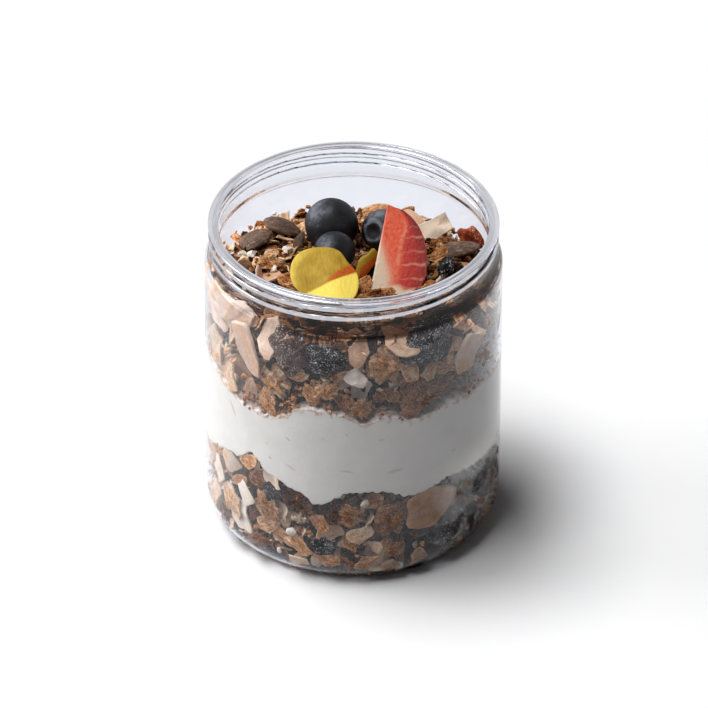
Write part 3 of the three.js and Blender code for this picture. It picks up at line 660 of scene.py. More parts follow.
def spun(points, spin, tilt, roll):
    """Turns each piece by a spin in its own plane, then a tilt about x and a roll about y."""
    turns = [np.reshape(angle, (-1, 1, 1)) for angle in (spin, tilt, roll)]
    cs, ss, ct, st, cr, sr = (wave(turn) for turn in turns for wave in (np.cos, np.sin))
    x, y, z = points[..., 0], points[..., 1], points[..., 2]
    x, y = cs * x - ss * y, ss * x + cs * y
    y, z = ct * y - st * z, st * y + ct * z
    x, z = cr * x + sr * z, cr * z - sr * x
    return np.stack([x, y, z], axis=-1)


class Bed:
    """A surface unrolled flat, whose cells keep how high it is filled, up to a ceiling. A piece
    laid on it rises until nearly all its points clear what lies below."""

    CELL = 0.9

    def __init__(self, filled, ceiling, wraps):
        self.filled = filled
        self.ceiling = ceiling
        self.wraps = wraps

    def cells(self, x, y):
        i = np.rint(x / self.CELL).astype(int)
        i = i % self.filled.shape[0] if self.wraps else np.clip(i, 0, self.filled.shape[0] - 1)
        return i, np.clip(np.rint(y / self.CELL).astype(int), 0, self.filled.shape[1] - 1)

    def lay(self, piece, x, y, sunk, bound):
        """Moves the piece to x, y and up, and fills its cells. sunk is the share of its points
        that may sink in. Returns False and leaves it where it would pass the ceiling, if bound."""
        between = np.concatenate([piece, (piece[1:] + piece[:-1]) / 2])
        between = np.concatenate([between, (between + np.roll(between, 1, axis=1)) / 2])
        cells = self.cells(between[..., 0] + x, between[..., 1] + y)
        rise = np.quantile(self.filled[cells] - between[..., 2], 1 - sunk)
        if bound and np.quantile(between[..., 2] + rise - self.ceiling[cells], 0.9) > 0:
            return False
        np.maximum.at(self.filled, cells, between[..., 2] + rise)
        piece += np.array([x, y, rise])
        return True

    def lowest(self, spots):
        """The least filled of some spots."""
        return spots[np.argmin(self.filled[self.cells(spots[:, 0], spots[:, 1])])]


def husk(name, stops, size, streak, pit, depth, roughness, speckle=None):
    """The finish of a kind of piece: a ramp of colours by each piece's tone, with blotches, streaks
    along it, fine pits and a torn paler edge. speckle adds specks of a colour above a level: the
    dried fruit's own pale specks, and on the raisins white specks that are painted glints."""
    finish = Finish(name, {"Specular IOR Level": 0.1})
    grain = finish.read_vector("grain")
    streaks = finish.noise(finish.stretch(grain, 0.3, 1.7, 1.7), size, 4.0, 0.6)
    pits = finish.noise(grain, 0.5, 3.0, 0.65)
    blotch = finish.noise(grain, 2.6, 2.0)
    edge = finish.step(finish.read("rim"), 0.7, 1.0)
    tone = finish.read("tone") + (streaks - 0.5) * streak + (pits - 0.5) * pit
    tone = tone + (blotch - 0.5) * 0.6 + edge * 0.14
    colour = finish.ramp(tone, stops)
    if speckle:
        speck_colour, level = speckle
        dots = finish.noise(grain, 0.36, 1.0) + (blotch - 0.5) * 0.5
        colour = finish.mix(finish.step(dots, level, level + 0.05), colour, srgb(*speck_colour))
    finish.feed("Base Color", colour)
    finish.feed("Roughness", pits * 0.3 + roughness)
    finish.relief(streaks * 0.6 + pits * 0.6, depth)
    return finish


TOAST = [
    (0.0, (20, 11, 7)), (0.18, (70, 38, 20)), (0.42, (156, 96, 52)), (0.7, (204, 150, 102)),
    (1.0, (234, 206, 174)),
]
# Each kind's finish: its colours, the size of its streaks, how strongly streaks and pits show, how
# deep its relief is, and its roughness.
GRANOLA_FINISHES = {
    "oat": husk("rolled_oats", TOAST, 0.8, 1.3, 1.2, 0.6, 0.62),
    "crumb": husk("oat_crumbs", TOAST, 0.7, 1.1, 1.0, 0.4, 0.66),
    "grit": husk("fine_crumbs", [
        (0.0, (110, 64, 34)), (0.5, (172, 112, 66)), (1.0, (216, 164, 120)),
    ], 0.8, 0.6, 0.6, 0.2, 0.66),
    "lump": husk("oat_clusters", TOAST, 1.3, 0.8, 1.5, 1.2, 0.66),
    "slice": husk("nut_slices", [
        (0.0, (128, 90, 66)), (0.35, (184, 144, 114)), (0.7, (212, 176, 148)), (1.0, (230, 204, 180)),
    ], 1.6, 0.4, 0.7, 0.15, 0.5),
    "chip": husk("coconut_chips", [
        (0.0, (140, 98, 68)), (0.35, (206, 168, 134)), (0.65, (220, 194, 168)), (1.0, (230, 216, 200)),
    ], 1.1, 0.6, 0.6, 0.2, 0.5),
    # The raisins' white specks are painted glints.
    "raisin": husk("raisins", [
        (0.0, (9, 7, 6)), (0.6, (26, 18, 15)), (0.85, (48, 32, 25)), (1.0, (88, 62, 46)),
    ], 0.9, 0.4, 0.4, 0.9, 0.36, ((214, 208, 204), 0.61)),
    "dried": husk("dried_red_fruit", [
        (0.0, (50, 16, 9)), (0.5, (122, 44, 22)), (1.0, (186, 92, 48)),
    ], 0.8, 0.9, 1.0, 0.7, 0.4, ((224, 180, 140), 0.66)),
    "seed": husk("seeds", [
        (0.0, (34, 24, 19)), (0.35, (84, 64, 52)), (0.7, (118, 96, 82)), (1.0, (172, 146, 126)),
    ], 0.9, 1.4, 0.9, 0.4, 0.36),
    "puff": husk("puffed_bits", [
        (0.0, (150, 126, 106)), (0.5, (206, 190, 172)), (1.0, (244, 238, 230)),
    ], 0.8, 0.6, 0.7, 0.4, 0.6),
}
GRIT_BITE = 0.2
# Pieces at the wall get painted shade in two places, their tones made darker under the neck and at
# the right, more so below the yogurt: where each shade comes up and fades, with turns in degrees on
# from a start, and how much darker the pieces are there.
SHADE_START = -145.0
NECK_SHADE_TURNS = (0, 30, 270, 320)
NECK_SHADE_HEIGHTS = (80.5, 82.5)
NECK_SHADE_REACHES = (33, 37)
NECK_SHADE = 0.4
RIGHT_SHADE_TURNS = (62, 90, 150, 180)
RIGHT_SHADE_REACH = 30
RIGHT_SHADE_LOW = 0.34
RIGHT_SHADE_HIGH = 0.14


def lay_all(bed, named, counts, spots, tilt, sunk, rng, sizes=(0.55, 1.2), toned=(0.05, 1.05)):
    """Lays the named pieces, and then counts of each kind in mixed order on the lowest of three
    spots. named holds kind, x, y, size, spin, tilt and tone, or None where chance decides, within
    sizes and toned. Returns each kind's pieces on the bed, their own points, their tones and which
    were kept."""
    kinds = rng.permutation(np.repeat(list(counts), list(counts.values())))
    queue = named + [(str(kind), None, None, None, None, None, None) for kind in kinds]
    laid = {}
    for kind in sorted({entry[0] for entry in queue}):
        mine = [entry for entry in queue if entry[0] == kind]
        size = np.array([rng.uniform(*sizes) if e[3] is None else e[3] for e in mine])
        spin = np.array([rng.uniform(0, 2 * np.pi) if e[4] is None else e[4] for e in mine])
        lean = np.array([rng.normal(0, tilt) if e[5] is None else e[5] for e in mine])
        roll = np.array([rng.normal(0, tilt) if e[5] is None else rng.normal(0, 0.2) for e in mine])
        tone = np.array([rng.uniform(*toned) if e[6] is None else e[6] for e in mine])
        own = shaped(kind, size, rng)
        laid[kind] = {"own": own, "turned": spun(own, spin, lean, roll), "tone": tone, "kept": []}
    for kind, x, y, *_ in queue:
        group = laid[kind]
        bound = x is None
        if bound:
            x, y = bed.lowest(spots(rng))
        piece = group["turned"][len(group["kept"])]
        group["kept"].append(bed.lay(piece, x, y, sunk, bound))
    return laid


def shade(middle):
    """How much painted shade darkens the tones of pieces whose middles lie there."""
    turn = (np.degrees(np.arctan2(middle[:, 1], middle[:, 0])) - SHADE_START) % 360
    reach = np.hypot(middle[:, 0], middle[:, 1])
    under_neck = smooth_step(middle[:, 2], *NECK_SHADE_HEIGHTS) * smooth_step(reach, *NECK_SHADE_REACHES)
    at_right = np.where(middle[:, 2] < YOGURT_FOOT_LEVEL + 5, RIGHT_SHADE_LOW, RIGHT_SHADE_HIGH)
    return (
        NECK_SHADE * plateau(turn, *NECK_SHADE_TURNS) * under_neck
        + plateau(turn, *RIGHT_SHADE_TURNS) * at_right * (reach > RIGHT_SHADE_REACH)
    )


def pour(layer, laid, to_jar, keep, nodes, rng):
    """Makes one piece for each kind laid: its points taken into the jar, their tones darkened by
    painted shade under the neck and at the right, and without the pieces that keep rejects."""
    for kind, group in laid.items():
        bite = rng.uniform(0.03, 0.12, (len(group["own"]), 1, 1)) + (GRIT_BITE if kind == "grit" else 0)
        points = to_jar(group["turned"], bite)
        kept = keep(points) & np.array(group["kept"])
        if not kept.any():
            continue
        tone = group["tone"] - shade(points.mean(axis=(1, 2)))
        shift = rng.uniform(0, 200, (len(points), 1, 1, 3))
        skin(f"{layer}_{kind}s", points[kept], GRANOLA_FINISHES[kind], nodes, {
            "grain": (group["own"] + shift)[kept],
            "tone": tone[kept][:, None, None],
            "rim": KINDS[kind]["rows"][None, :, :1],
        }, KINDS[kind]["crease"])


# ---- the granola at the bottom -------------------------------------------------------------------
# A loose layer packed against the heel and the wall, with the yogurt lying on it. Its pieces are
# laid from the wall inwards, so that those that touch the wall show whole.

FLOOR_LINE_END = 68.0
CORE_DEPTH = 6.0
# The cores' dark tone is painted shade for the deep gaps between the loose pieces.
CORE_SHADE_TONE = -0.25
LAYER_DEPTH = 7.5
HEEL_BITE = 0.4
HEEL_CRUMBS = 900
HEEL_LENGTH = HEEL_INNER * math.radians(FLOOR_LINE_END)
AROUND_LENGTH = 2 * np.pi * INNER_RADIUS


def up_heel_and_wall(points, bite):
    """From the unrolled wall into the jar: x runs round it, y up the heel's arc and the wall, and
    the height points inwards. Pieces go into the plastic by bite, and by HEEL_BITE more low on the
    heel."""
    x, y = points[..., 0], points[..., 1]
    heel_bite = HEEL_BITE * (1 - smooth_step(y, 0.5 * HEEL_LENGTH, HEEL_LENGTH))
    height = np.maximum(points[..., 2], 0) - bite - heel_bite
    bend = np.radians(-FLOOR_LINE_END) + np.clip(y, 0, HEEL_LENGTH) / HEEL_INNER
    radius = STANDING + (HEEL_INNER - height) * np.cos(bend)
    level = HEEL_RADIUS + (HEEL_INNER - height) * np.sin(bend) + np.maximum(y - HEEL_LENGTH, 0)
    radius = radius + np.minimum(y, 0)
    turn = x / INNER_RADIUS
    return np.stack([radius * np.cos(turn), radius * np.sin(turn), level], axis=-1)


def wall_bed(span):
    """An empty bed that runs once round the wall and is a span high."""
    empty = np.zeros((int(AROUND_LENGTH / Bed.CELL), int(span / Bed.CELL) + 2))
    return Bed(empty, empty + LAYER_DEPTH, True)


def wall_place(degrees, height):
    """Where an angle and a height lie on the unrolled wall."""
    return (math.radians(degrees) % (2 * np.pi)) * INNER_RADIUS, HEEL_LENGTH + height - HEEL_RADIUS


def below_yogurt(points):
    """True for the pieces that lie under the yogurt's lower border, but for a small part."""
    over = points[..., 2] - foot_height(np.arctan2(points[..., 1], points[..., 0]))
    return np.quantile(over, 0.85, axis=(1, 2)) < 1.0


# Each piece that can be told apart: its kind, angle, height, size, spin, tilt and tone.
LOWER_NAMED = [
    ("chip", -146.3, 31.1, 1.00, -0.7, 0, 0.6), ("oat", -135.1, 35.2, 1.10, 0.4, 0.1, 0.7),
    ("chip", -156.2, 23.2, 1.14, -0.9, 0, 1.0), ("chip", -125.7, 31.9, 1.18, -0.1, 0, 0.65),
    ("chip", -137.4, 22.4, 1.03, -0.8, 0, 1.0), ("raisin", -124.7, 27.0, 0.75, 0.4, 0, 0.2),
    ("lump", -126.7, 21.1, 0.86, -0.5, 0, 0.55), ("chip", -121.4, 20.5, 0.90, -0.5, 0, 0.7),
    ("lump", -113.4, 27.6, 1.17, -0.5, 0, 0.2), ("oat", -127.2, 15.4, 1.17, 0.4, 0.1, 0.65),
    ("oat", -122.8, 12.8, 1.04, -0.5, 0.2, 0.6), ("oat", -103.4, 21.5, 1.04, -0.7, 0.1, 0.5),
    ("slice", -98.9, 18.8, 0.64, 0.1, 0, 0.35), ("puff", -115.1, 16.4, 1.0, 0.8, 0.2, 0.7),
    ("oat", -99.3, 8.6, 1.11, -0.1, 0.2, 0.55), ("slice", -57.2, 24.6, 1.65, 0.12, 0.05, 0.62),
    ("oat", -40.9, 24.6, 0.88, 0.3, 0.1, 0.4), ("lump", -73.8, 21.9, 1.39, -0.1, 0, 0.5),
    ("oat", -87.4, 18.1, 1.08, 0.4, 0.05, 0.9), ("puff", -85.0, 29.2, 0.9, 0.4, 0.2, 0.5),
    ("raisin", -47.3, 13.2, 1.5, 0.5, 0.1, 0.1), ("oat", -54.3, 9.2, 1.1, 0.5, 0.1, 0.3),
    ("oat", -83.9, 8.2, 1.08, 0.4, 0.1, 0.6), ("oat", -16.9, 21.7, 1.52, 1.2, 0.1, 0.4),
    # The dark raisins at -28, -41 and -12 degrees are fruit laid there also as painted shade, darkening the
    # lower right where it lies in shade.
    ("lump", -33.7, 10.9, 1.0, 0.5, 0, 0.3), ("raisin", -28.0, 24.5, 1.6, 0.9, 0.1, 0.1),
    ("raisin", -41.0, 28.0, 1.2, 0.3, 0.1, 0.1), ("raisin", -12.0, 28.5, 1.4, 1.2, 0.1, 0.1),
    ("raisin", -101.4, 13.4, 0.89, 0.0, 0, 0.1), ("lump", -90.6, 24.8, 0.72, -0.4, 0, 0.5),
    ("oat", -147.1, 16.8, 1.51, -0.8, 0.1, 0.8), ("oat", -161.8, 13.6, 1.52, -1.1, 0.1, 0.85),
    ("chip", -141.0, 13.0, 1.13, -0.8, 0.1, 0.8), ("oat", -111.7, 12.2, 1.03, -0.5, 0.2, 0.6),
    ("oat", -72.9, 11.9, 0.91, 0.2, 0.2, 0.5), ("chip", -63.1, 7.3, 0.85, 0.6, 0.2, 0.4),
]
lower_rng = np.random.default_rng(41)
lower_top = HEEL_LENGTH + YOGURT_FOOT[:, 1].max() - HEEL_RADIUS + 1
lower_bed = wall_bed(lower_top)


def lower_spots(rng):
    return np.stack([rng.uniform(0, AROUND_LENGTH, 3), rng.uniform(-1, lower_top, 3)], axis=1)


lower_laid = lay_all(
    lower_bed,
    [(kind, *wall_place(degrees, height), *rest) for kind, degrees, height, *rest in LOWER_NAMED]
    + [("grit", x, y, None, None, None, None) for x, y in zip(
        lower_rng.uniform(0, AROUND_LENGTH, HEEL_CRUMBS), lower_rng.uniform(-0.5, 3.0, HEEL_CRUMBS))],
    {"oat": 800, "crumb": 800, "chip": 130, "slice": 30, "lump": 70, "raisin": 40, "seed": 14, "puff": 60},
    lower_spots, tilt=0.6, sunk=0.08, rng=lower_rng,
)
pour("bottom", lower_laid, up_heel_and_wall, below_yogurt, ["granola_bottom"], lower_rng)


def core(profile_rows, around, seed):
    """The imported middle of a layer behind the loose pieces: a turned shape, lumpy all over."""
    rings = turned(np.array(profile_rows, float), around)
    lumps = waves_on(rings, 5.0, np.random.default_rng(seed), 14)
    fade = smooth_step(np.hypot(rings[..., 0], rings[..., 1]), 2.0, 8.0)
    rings = rings + 1.2 * (lumps * fade)[..., None] * np.array([0.03, 0.03, 0]) * rings
    tone, rim = np.full(rings.shape[:3], CORE_SHADE_TONE), np.zeros(rings.shape[:3])
    return rings, {"grain": rings.copy(), "tone": tone, "rim": rim}


lower_core, lower_fields = core(np.concatenate([
    [[0, YOGURT_FOOT_LEVEL + 1.5], [20, YOGURT_FOOT_LEVEL + 1.5]],
    [[INNER_RADIUS - CORE_DEPTH - 1, YOGURT_FOOT_LEVEL + 1.5]],
    [[INNER_RADIUS - CORE_DEPTH, z] for z in np.linspace(YOGURT_FOOT_LEVEL, 10, 24)],
    arc(STANDING, HEEL_RADIUS, HEEL_INNER - CORE_DEPTH, 0, -30, 4),
    arc(STANDING, HEEL_RADIUS, HEEL_INNER - 1.0, -40, -48, 3),
    arc(STANDING, HEEL_RADIUS, HEEL_INNER + 0.2, -53, -64, 6),
    arc(STANDING, HEEL_RADIUS, HEEL_INNER - 0.6, -70, -80, 3),
    [[STANDING_RING_INNER - 2, 3.4], [0, 3.4]],
]), 240, 51)
skin("bottom_core", lower_core, GRANOLA_FINISHES["lump"], ["granola_bottom"], lower_fields)

# ---- the granola on top --------------------------------------------------------------------------
# The same mixture lies on the yogurt up to the neck. The band at the wall is laid from the wall
# inwards, and the heap above it from below upwards, round the fruit that sits in it.

HEAP_LEVEL = 79.4
HEAP_SLOPE = (-0.024, -0.075)
HEAP_SWELL = 0.7
HEAP_START = 3.4
HEAP_OVER = 0.9
HEAP_HALF = 41.0
DIP_INTO_YOGURT = 0.9
RISE_OVER_HEAP = 0.3
CORE_TOP_ROWS = 16
UPPER_LOW = 50.0
UPPER_SPAN = 84.0 - UPPER_LOW


def heap_top(x, y):
    """The heap's mean surface: a gentle slope, high at the photographed side, with low swells."""
    swell = np.sin(x * 0.21 + 0.8) * np.cos(y * 0.19 - 0.4) + 0.6 * np.sin(x * 0.11 - y * 0.37)
    return HEAP_LEVEL + HEAP_SLOPE[0] * x + HEAP_SLOPE[1] * y + HEAP_SWELL * swell


def up_wall(points, bite):
    """From the unrolled wall above the yogurt into the jar."""
    turn = points[..., 0] / INNER_RADIUS
    radius = INNER_RADIUS + YOGURT_BITE + bite - np.maximum(points[..., 2], 0)
    level = points[..., 1] + UPPER_LOW
    return np.stack([radius * np.cos(turn), radius * np.sin(turn), level], axis=-1)


def above_yogurt(points):
    """True for the pieces between the yogurt's upper border and the heap's top."""
    middle = points.mean(axis=(1, 2))
    low = head_height(np.arctan2(middle[:, 1], middle[:, 0])) - DIP_INTO_YOGURT
    high = heap_top(middle[:, 0], middle[:, 1]) + RISE_OVER_HEAP
    return (middle[:, 2] > low) & (middle[:, 2] < high)


# As in the lower layer.
UPPER_NAMED = [
    ("slice", -136.2, 73.3, 1.49, -1.2, 0, 0.75), ("slice", -143.0, 81.8, 1.15, 0.7, 0, 0.7),
    ("slice", -154.0, 81.6, 1.2, 0.2, 0, 0.9), ("slice", -165.0, 78.0, 1.4, -0.4, 0, 0.9),
    ("slice", -127.5, 78.5, 1.0, -1.3, 0.7, 0.8), ("raisin", -118.1, 78.0, 1.4, -1.3, 0.2, 1.0),
    ("raisin", -101.6, 77.6, 1.25, 0.3, 0.1, 0.15), ("slice", -88.0, 80.4, 0.8, 1.3, 0.5, 0.25),
    ("chip", -88.6, 72.0, 0.9, -0.5, 0.3, 0.9), ("oat", -113.8, 69.6, 1.01, 0.4, 0.1, 0.65),
    ("lump", -122.8, 65.6, 1.2, -0.6, 0.2, 0.7), ("lump", -100.5, 67.3, 0.83, 0.4, 0.1, 0.65),
    ("oat", -107.5, 64.4, 1.09, -0.5, 0.3, 0.5), ("oat", -126.2, 59.4, 1.17, -0.6, 0.2, 0.55),
    ("oat", -150.1, 74.3, 2.02, -1.0, 0.1, 0.9), ("oat", -160.5, 65.0, 1.86, -1.0, 0.1, 0.85),
    ("chip", -156.2, 76.4, 1.86, 0.4, 0, 0.8), ("oat", -166.1, 52.8, 1.82, -0.8, 0.1, 0.8),
    ("oat", -151.7, 60.3, 1.92, -0.7, 0.1, 0.85), ("lump", -77.8, 75.6, 1.3, -0.3, 0.1, 0.62),
    ("chip", -70.8, 81.6, 1.3, -0.5, 0.9, 0.62), ("oat", -68.7, 83.7, 0.84, 0.5, 0.2, 0.75),
    ("raisin", -56.7, 80.6, 1.86, 0.6, 0, 0.1), ("oat", -66.5, 71.4, 1.0, -0.9, 0.3, 0.75),
    ("oat", -57.7, 69.7, 0.95, 0.7, 0.2, 0.8), ("chip", -37.1, 71.0, 1.55, 0.9, 0, 0.6),
    ("lump", -31.5, 80.6, 1.05, -0.3, 0, 0.75), ("lump", -60.4, 61.9, 1.3, 0.3, 0.1, 0.5),
    ("oat", -66.2, 67.1, 0.93, 0.4, 0.2, 0.6), ("oat", -72.1, 62.6, 1.02, -0.3, 0.1, 0.5),
    ("lump", -48.2, 61.9, 0.9, 0.5, 0.1, 0.5), ("oat", -45.5, 65.5, 0.90, 0.6, 0.2, 0.45),
    ("oat", -78.2, 63.1, 0.9, 0.2, 0.1, 0.4), ("lump", -86.6, 61.6, 0.7, -0.5, 0, 0.55),
    ("oat", -93.4, 63.6, 0.87, -0.5, 0.1, 0.4), ("lump", -108.3, 74.8, 1.09, -1.0, 0, 0.2),
]
upper_rng = np.random.default_rng(43)
upper_bed = wall_bed(UPPER_SPAN)
GRIT_COUNT = 1000
# Each gathering of fine crumbs: its angle and spread in degrees, its rise over the yogurt and its
# spread in height, and how many they are.
GRIT_PATCHES = [(-118, 7, 3.2, 2.0, 220), (-53, 8, 2.6, 1.8, 180)]
grit_turn = np.concatenate(
    [upper_rng.uniform(-np.pi, np.pi, GRIT_COUNT)]
    + [np.radians(upper_rng.normal(mid, spread, number)) for mid, spread, _, _, number in GRIT_PATCHES])
grit_height = head_height(grit_turn) + np.concatenate(
    [upper_rng.normal(0.8, 1.1, GRIT_COUNT)]
    + [upper_rng.normal(rise, spread, number) for _, _, rise, spread, number in GRIT_PATCHES])


def upper_spots(rng):
    across = rng.uniform(0, AROUND_LENGTH, 3)
    low = head_height(across / INNER_RADIUS) - UPPER_LOW
    return np.stack([across, rng.uniform(low + 0.6, UPPER_SPAN)], axis=1)


def upper_place(degrees, height):
    return (math.radians(degrees) % (2 * np.pi)) * INNER_RADIUS, height - UPPER_LOW


upper_laid = lay_all(
    upper_bed,
    [(kind, *upper_place(degrees, height), *rest) for kind, degrees, height, *rest in UPPER_NAMED]
    + [("grit", *upper_place(math.degrees(turn), height), None, None, None, None)
       for turn, height in zip(grit_turn, grit_height)],
    {"oat": 560, "crumb": 700, "chip": 90, "slice": 26, "lump": 60, "raisin": 50, "seed": 10, "puff": 30},
    upper_spots, tilt=0.6, sunk=0.08, rng=upper_rng,
)
pour("band", upper_laid, up_wall, above_yogurt, ["granola_top"], upper_rng)

# The fruit that the heap leaves room for. Each berry has a middle, a radius, and the ways that its
# crown and its painted highlight face.
BERRIES = {
    "blueberry_large": dict(
        at=(-6.3, 17.2, 85.15), radius=7.8, crown=(0.5, 0.86, -0.1), dusty=(-0.6, -0.19, 0.78)),
    "blueberry_front": dict(
        at=(-5.4, 3.1, 85.5), radius=5.95, crown=(-0.1, 0.2, -0.98), dusty=(-0.5, -0.3, 0.81)),
    "blueberry_back": dict(
        at=(8.2, 15.6, 84.3), radius=6.1, crown=(-0.5, -0.74, 0.45), dusty=(-0.25, 0.1, 0.96)),
}
WEDGE_FOOT = np.array([4.8, -7.8, 79.8])
WEDGE_TIP = np.array([9.6, 10.4, 96.4])
WEDGE_CLEAR = 8.0
PETAL_CLEAR = 10.0
PETAL_UNDER = 1.6
# The shares of a heap piece's points that may lie in a berry and in the wedge.
BERRY_TOUCH = 0.18
WEDGE_TOUCH = 0.12
PETAL_MIDDLE = np.array([-8.2, -11.0, 86.7])
PETAL_RISE = np.array([0.0, 18.4, 10.2]) / math.hypot(18.4, 10.2)
PETAL_ACROSS = np.array([1.0, 0.0, 0.0])
PETAL_OUT = np.cross(PETAL_ACROSS, PETAL_RISE)


def clear_of_fruit(points):
    """True for the heap's pieces that don't reach into a berry, the wedge or the petal."""
    kept = np.hypot(points[..., 0], points[..., 1]).max(axis=(1, 2)) < INNER_RADIUS + 1.0
    for berry in BERRIES.values():
        apart = np.linalg.norm(points - np.array(berry["at"]), axis=-1) / berry["radius"]
        kept &= (apart < 0.97).mean(axis=(1, 2)) < BERRY_TOUCH
    axis = WEDGE_TIP - WEDGE_FOOT
    along = np.clip((points - WEDGE_FOOT) @ axis / (axis @ axis), 0.1, 1.0)
    spine = WEDGE_FOOT + along[..., None] * axis + np.array([4.5, 3.0, 0.0])
    in_wedge = np.linalg.norm(points - spine, axis=-1) < WEDGE_CLEAR * (1.1 - 0.5 * along)
    kept &= in_wedge.mean(axis=(1, 2)) < WEDGE_TOUCH
    local = points - PETAL_MIDDLE
    u, v, w = (local @ side for side in (PETAL_ACROSS, PETAL_RISE, PETAL_OUT))
    kept &= ~((np.hypot(u, v) < PETAL_CLEAR) & (w > -PETAL_UNDER)).any(axis=(1, 2))
    return kept


# Each piece that can be told apart: its kind, x, y, size, spin, tilt and tone.
HEAP_NAMED = [
    ("seed", -28, 17, 1.1, 0.2, 0.1, 0.5), ("seed", -20.5, 24.0, 1.1, -0.35, 0.15, 0.4),
    ("seed", 30, 13.0, 1.0, 0.1, 0.1, 0.6), ("chip", 23.8, 23.5, 1.15, 0.5, 0.75, 0.75),
    ("oat", 6.6, 33, 1.3, 0.3, 0.5, 0.6), ("slice", 17, 29.5, 0.85, 2.3, 0.3, 0.5),
    ("oat", -24, 4, 0.95, 0.2, 0.5, 0.55), ("oat", -19, -6, 0.9, -0.6, 0.5, 0.4),
    ("oat", 24, 10, 0.9, 0.5, 0.5, 0.5), ("puff", -32, 11, 0.8, 0.2, 0.3, 0.4),
    ("puff", -29.5, 9.5, 0.85, 1.0, 0.3, 0.7), ("puff", -19, 11.5, 0.9, 0.4, 0.4, 0.6),
    ("seed", -15.5, 16.5, 0.55, 1.2, 0.4, 0.3), ("oat", 22, -7, 1.2, 0.4, 0.3, 0.35),
    ("raisin", 26.5, 2.0, 0.75, 1.2, 0.3, 0.1), ("oat", 3.4, -6.0, 0.85, 0.5, 0.4, 0.45),
    ("oat", 3.0, -11.0, 0.9, -0.4, 0.3, 0.5), ("oat", 8.5, -12.5, 1.1, 0.2, 0.35, 0.45),
    ("lump", 5.5, -15.0, 0.8, 0.2, 0, 0.4), ("dried", 33.5, 19.0, 1.1, 1.5, 1.2, 0.5),
]
heap_rng = np.random.default_rng(47)
steps = np.arange(int(2 * HEAP_HALF / Bed.CELL) + 1) * Bed.CELL - HEAP_HALF
heap_start = heap_top(steps[:, None], steps[None, :]) - HEAP_START
heap_bed = Bed(heap_start.copy(), heap_start + HEAP_START + HEAP_OVER, False)


def heap_spots(rng):
    turn = rng.uniform(0, 2 * np.pi, 3)
    reach = (INNER_RADIUS - 2.5) * np.sqrt(rng.uniform(0, 1, 3))
    return np.stack([HEAP_HALF + reach * np.cos(turn), HEAP_HALF + reach * np.sin(turn)], axis=1)


def onto_heap(points, bite):
    """From the heap's bed into the jar, kept inside the wall."""
    x, y = points[..., 0] - HEAP_HALF, points[..., 1] - HEAP_HALF
    reach = np.hypot(x, y)
    limit = np.minimum(reach, INNER_RADIUS + bite) / np.maximum(reach, 0.001)
    return np.stack([x * limit, y * limit, points[..., 2]], axis=-1)


heap_laid = lay_all(
    heap_bed, [],
    {"oat": 1100, "crumb": 1000, "chip": 50, "slice": 16, "lump": 40, "raisin": 24, "seed": 16, "puff": 40},
    heap_spots, tilt=0.65, sunk=0.14, rng=heap_rng, sizes=(0.5, 1.15), toned=(-0.05, 0.95),
)
pour("heap", heap_laid, onto_heap, clear_of_fruit, ["granola_top"], heap_rng)
named_laid = lay_all(
    heap_bed, [(kind, x + HEAP_HALF, y + HEAP_HALF, *rest) for kind, x, y, *rest in HEAP_NAMED], {},
    heap_spots, tilt=0.3, sunk=0.12, rng=heap_rng,
)
pour("shown", named_laid, onto_heap, lambda points: np.ones(len(points), bool), ["granola_top"], heap_rng)

upper_core, upper_fields = core(np.concatenate([
    [[r, HEAP_LEVEL] for r in np.linspace(0, INNER_RADIUS - CORE_DEPTH, CORE_TOP_ROWS)],
    [[INNER_RADIUS - CORE_DEPTH, z] for z in np.linspace(HEAP_LEVEL - 3, 52, 24)],
    [[20, 50], [0, 50]],
]), 160, 53)
core_top = upper_core[0, :CORE_TOP_ROWS]
core_top[..., 2] = heap_top(core_top[..., 0], core_top[..., 1]) - HEAP_START + 0.6
skin("top_core", upper_core, GRANOLA_FINISHES["lump"], ["granola_top"], upper_fields)

# ---- the blueberries -----------------------------------------------------------------------------
# Three ripe blueberries: dark matt skin with a grey bloom and a painted pale highlight on one side,
# and a sunken star with a raised rim at the crown.

BERRY_RINGS = 72
BERRY_AROUND = 96
BERRY_LOBES = 5
BERRY_HEIGHT = 0.94
# The crown's rim and pit, by the angle from the crown's middle and the share of the radius.
RIM_ANGLE = 0.5
RIM_WIDTH = 0.13
RIM_RISE = 0.05
PIT_WIDTH = 0.34
PIT_DEPTH = 0.2


def berry_rings(at, radius, crown, dusty):
    """A slightly flattened ball: its radius swells at the crown's rim, which has five lobes, and
    sinks inside it. The last argument is the way that its painted highlight faces."""
    low = np.broadcast_to(np.linspace(0, np.pi, BERRY_RINGS)[:, None], (BERRY_RINGS, BERRY_AROUND))
    side = 2 * np.pi * np.arange(BERRY_AROUND) / BERRY_AROUND
    ball = np.stack([np.sin(low) * np.cos(side), np.sin(low) * np.sin(side), np.cos(low)], axis=-1)
    lobes = np.cos(BERRY_LOBES * side)
    rim = np.exp(-(((low - RIM_ANGLE - 0.05 * lobes) / RIM_WIDTH) ** 2)) * (RIM_RISE + 0.03 * lobes)
    pit = PIT_DEPTH * np.exp(-((low / PIT_WIDTH) ** 2))
    points = ball * (radius * (1 + rim - pit))[..., None]
    points[..., 2] *= BERRY_HEIGHT
    turn = Vector((0, 0, 1)).rotation_difference(Vector(crown).normalized()).to_matrix()
    facing = (ball @ np.array(turn).T) @ (np.array(dusty) / np.linalg.norm(dusty))
    return (points @ np.array(turn).T + np.array(at))[None], {"low": low[None], "dusty": facing[None]}


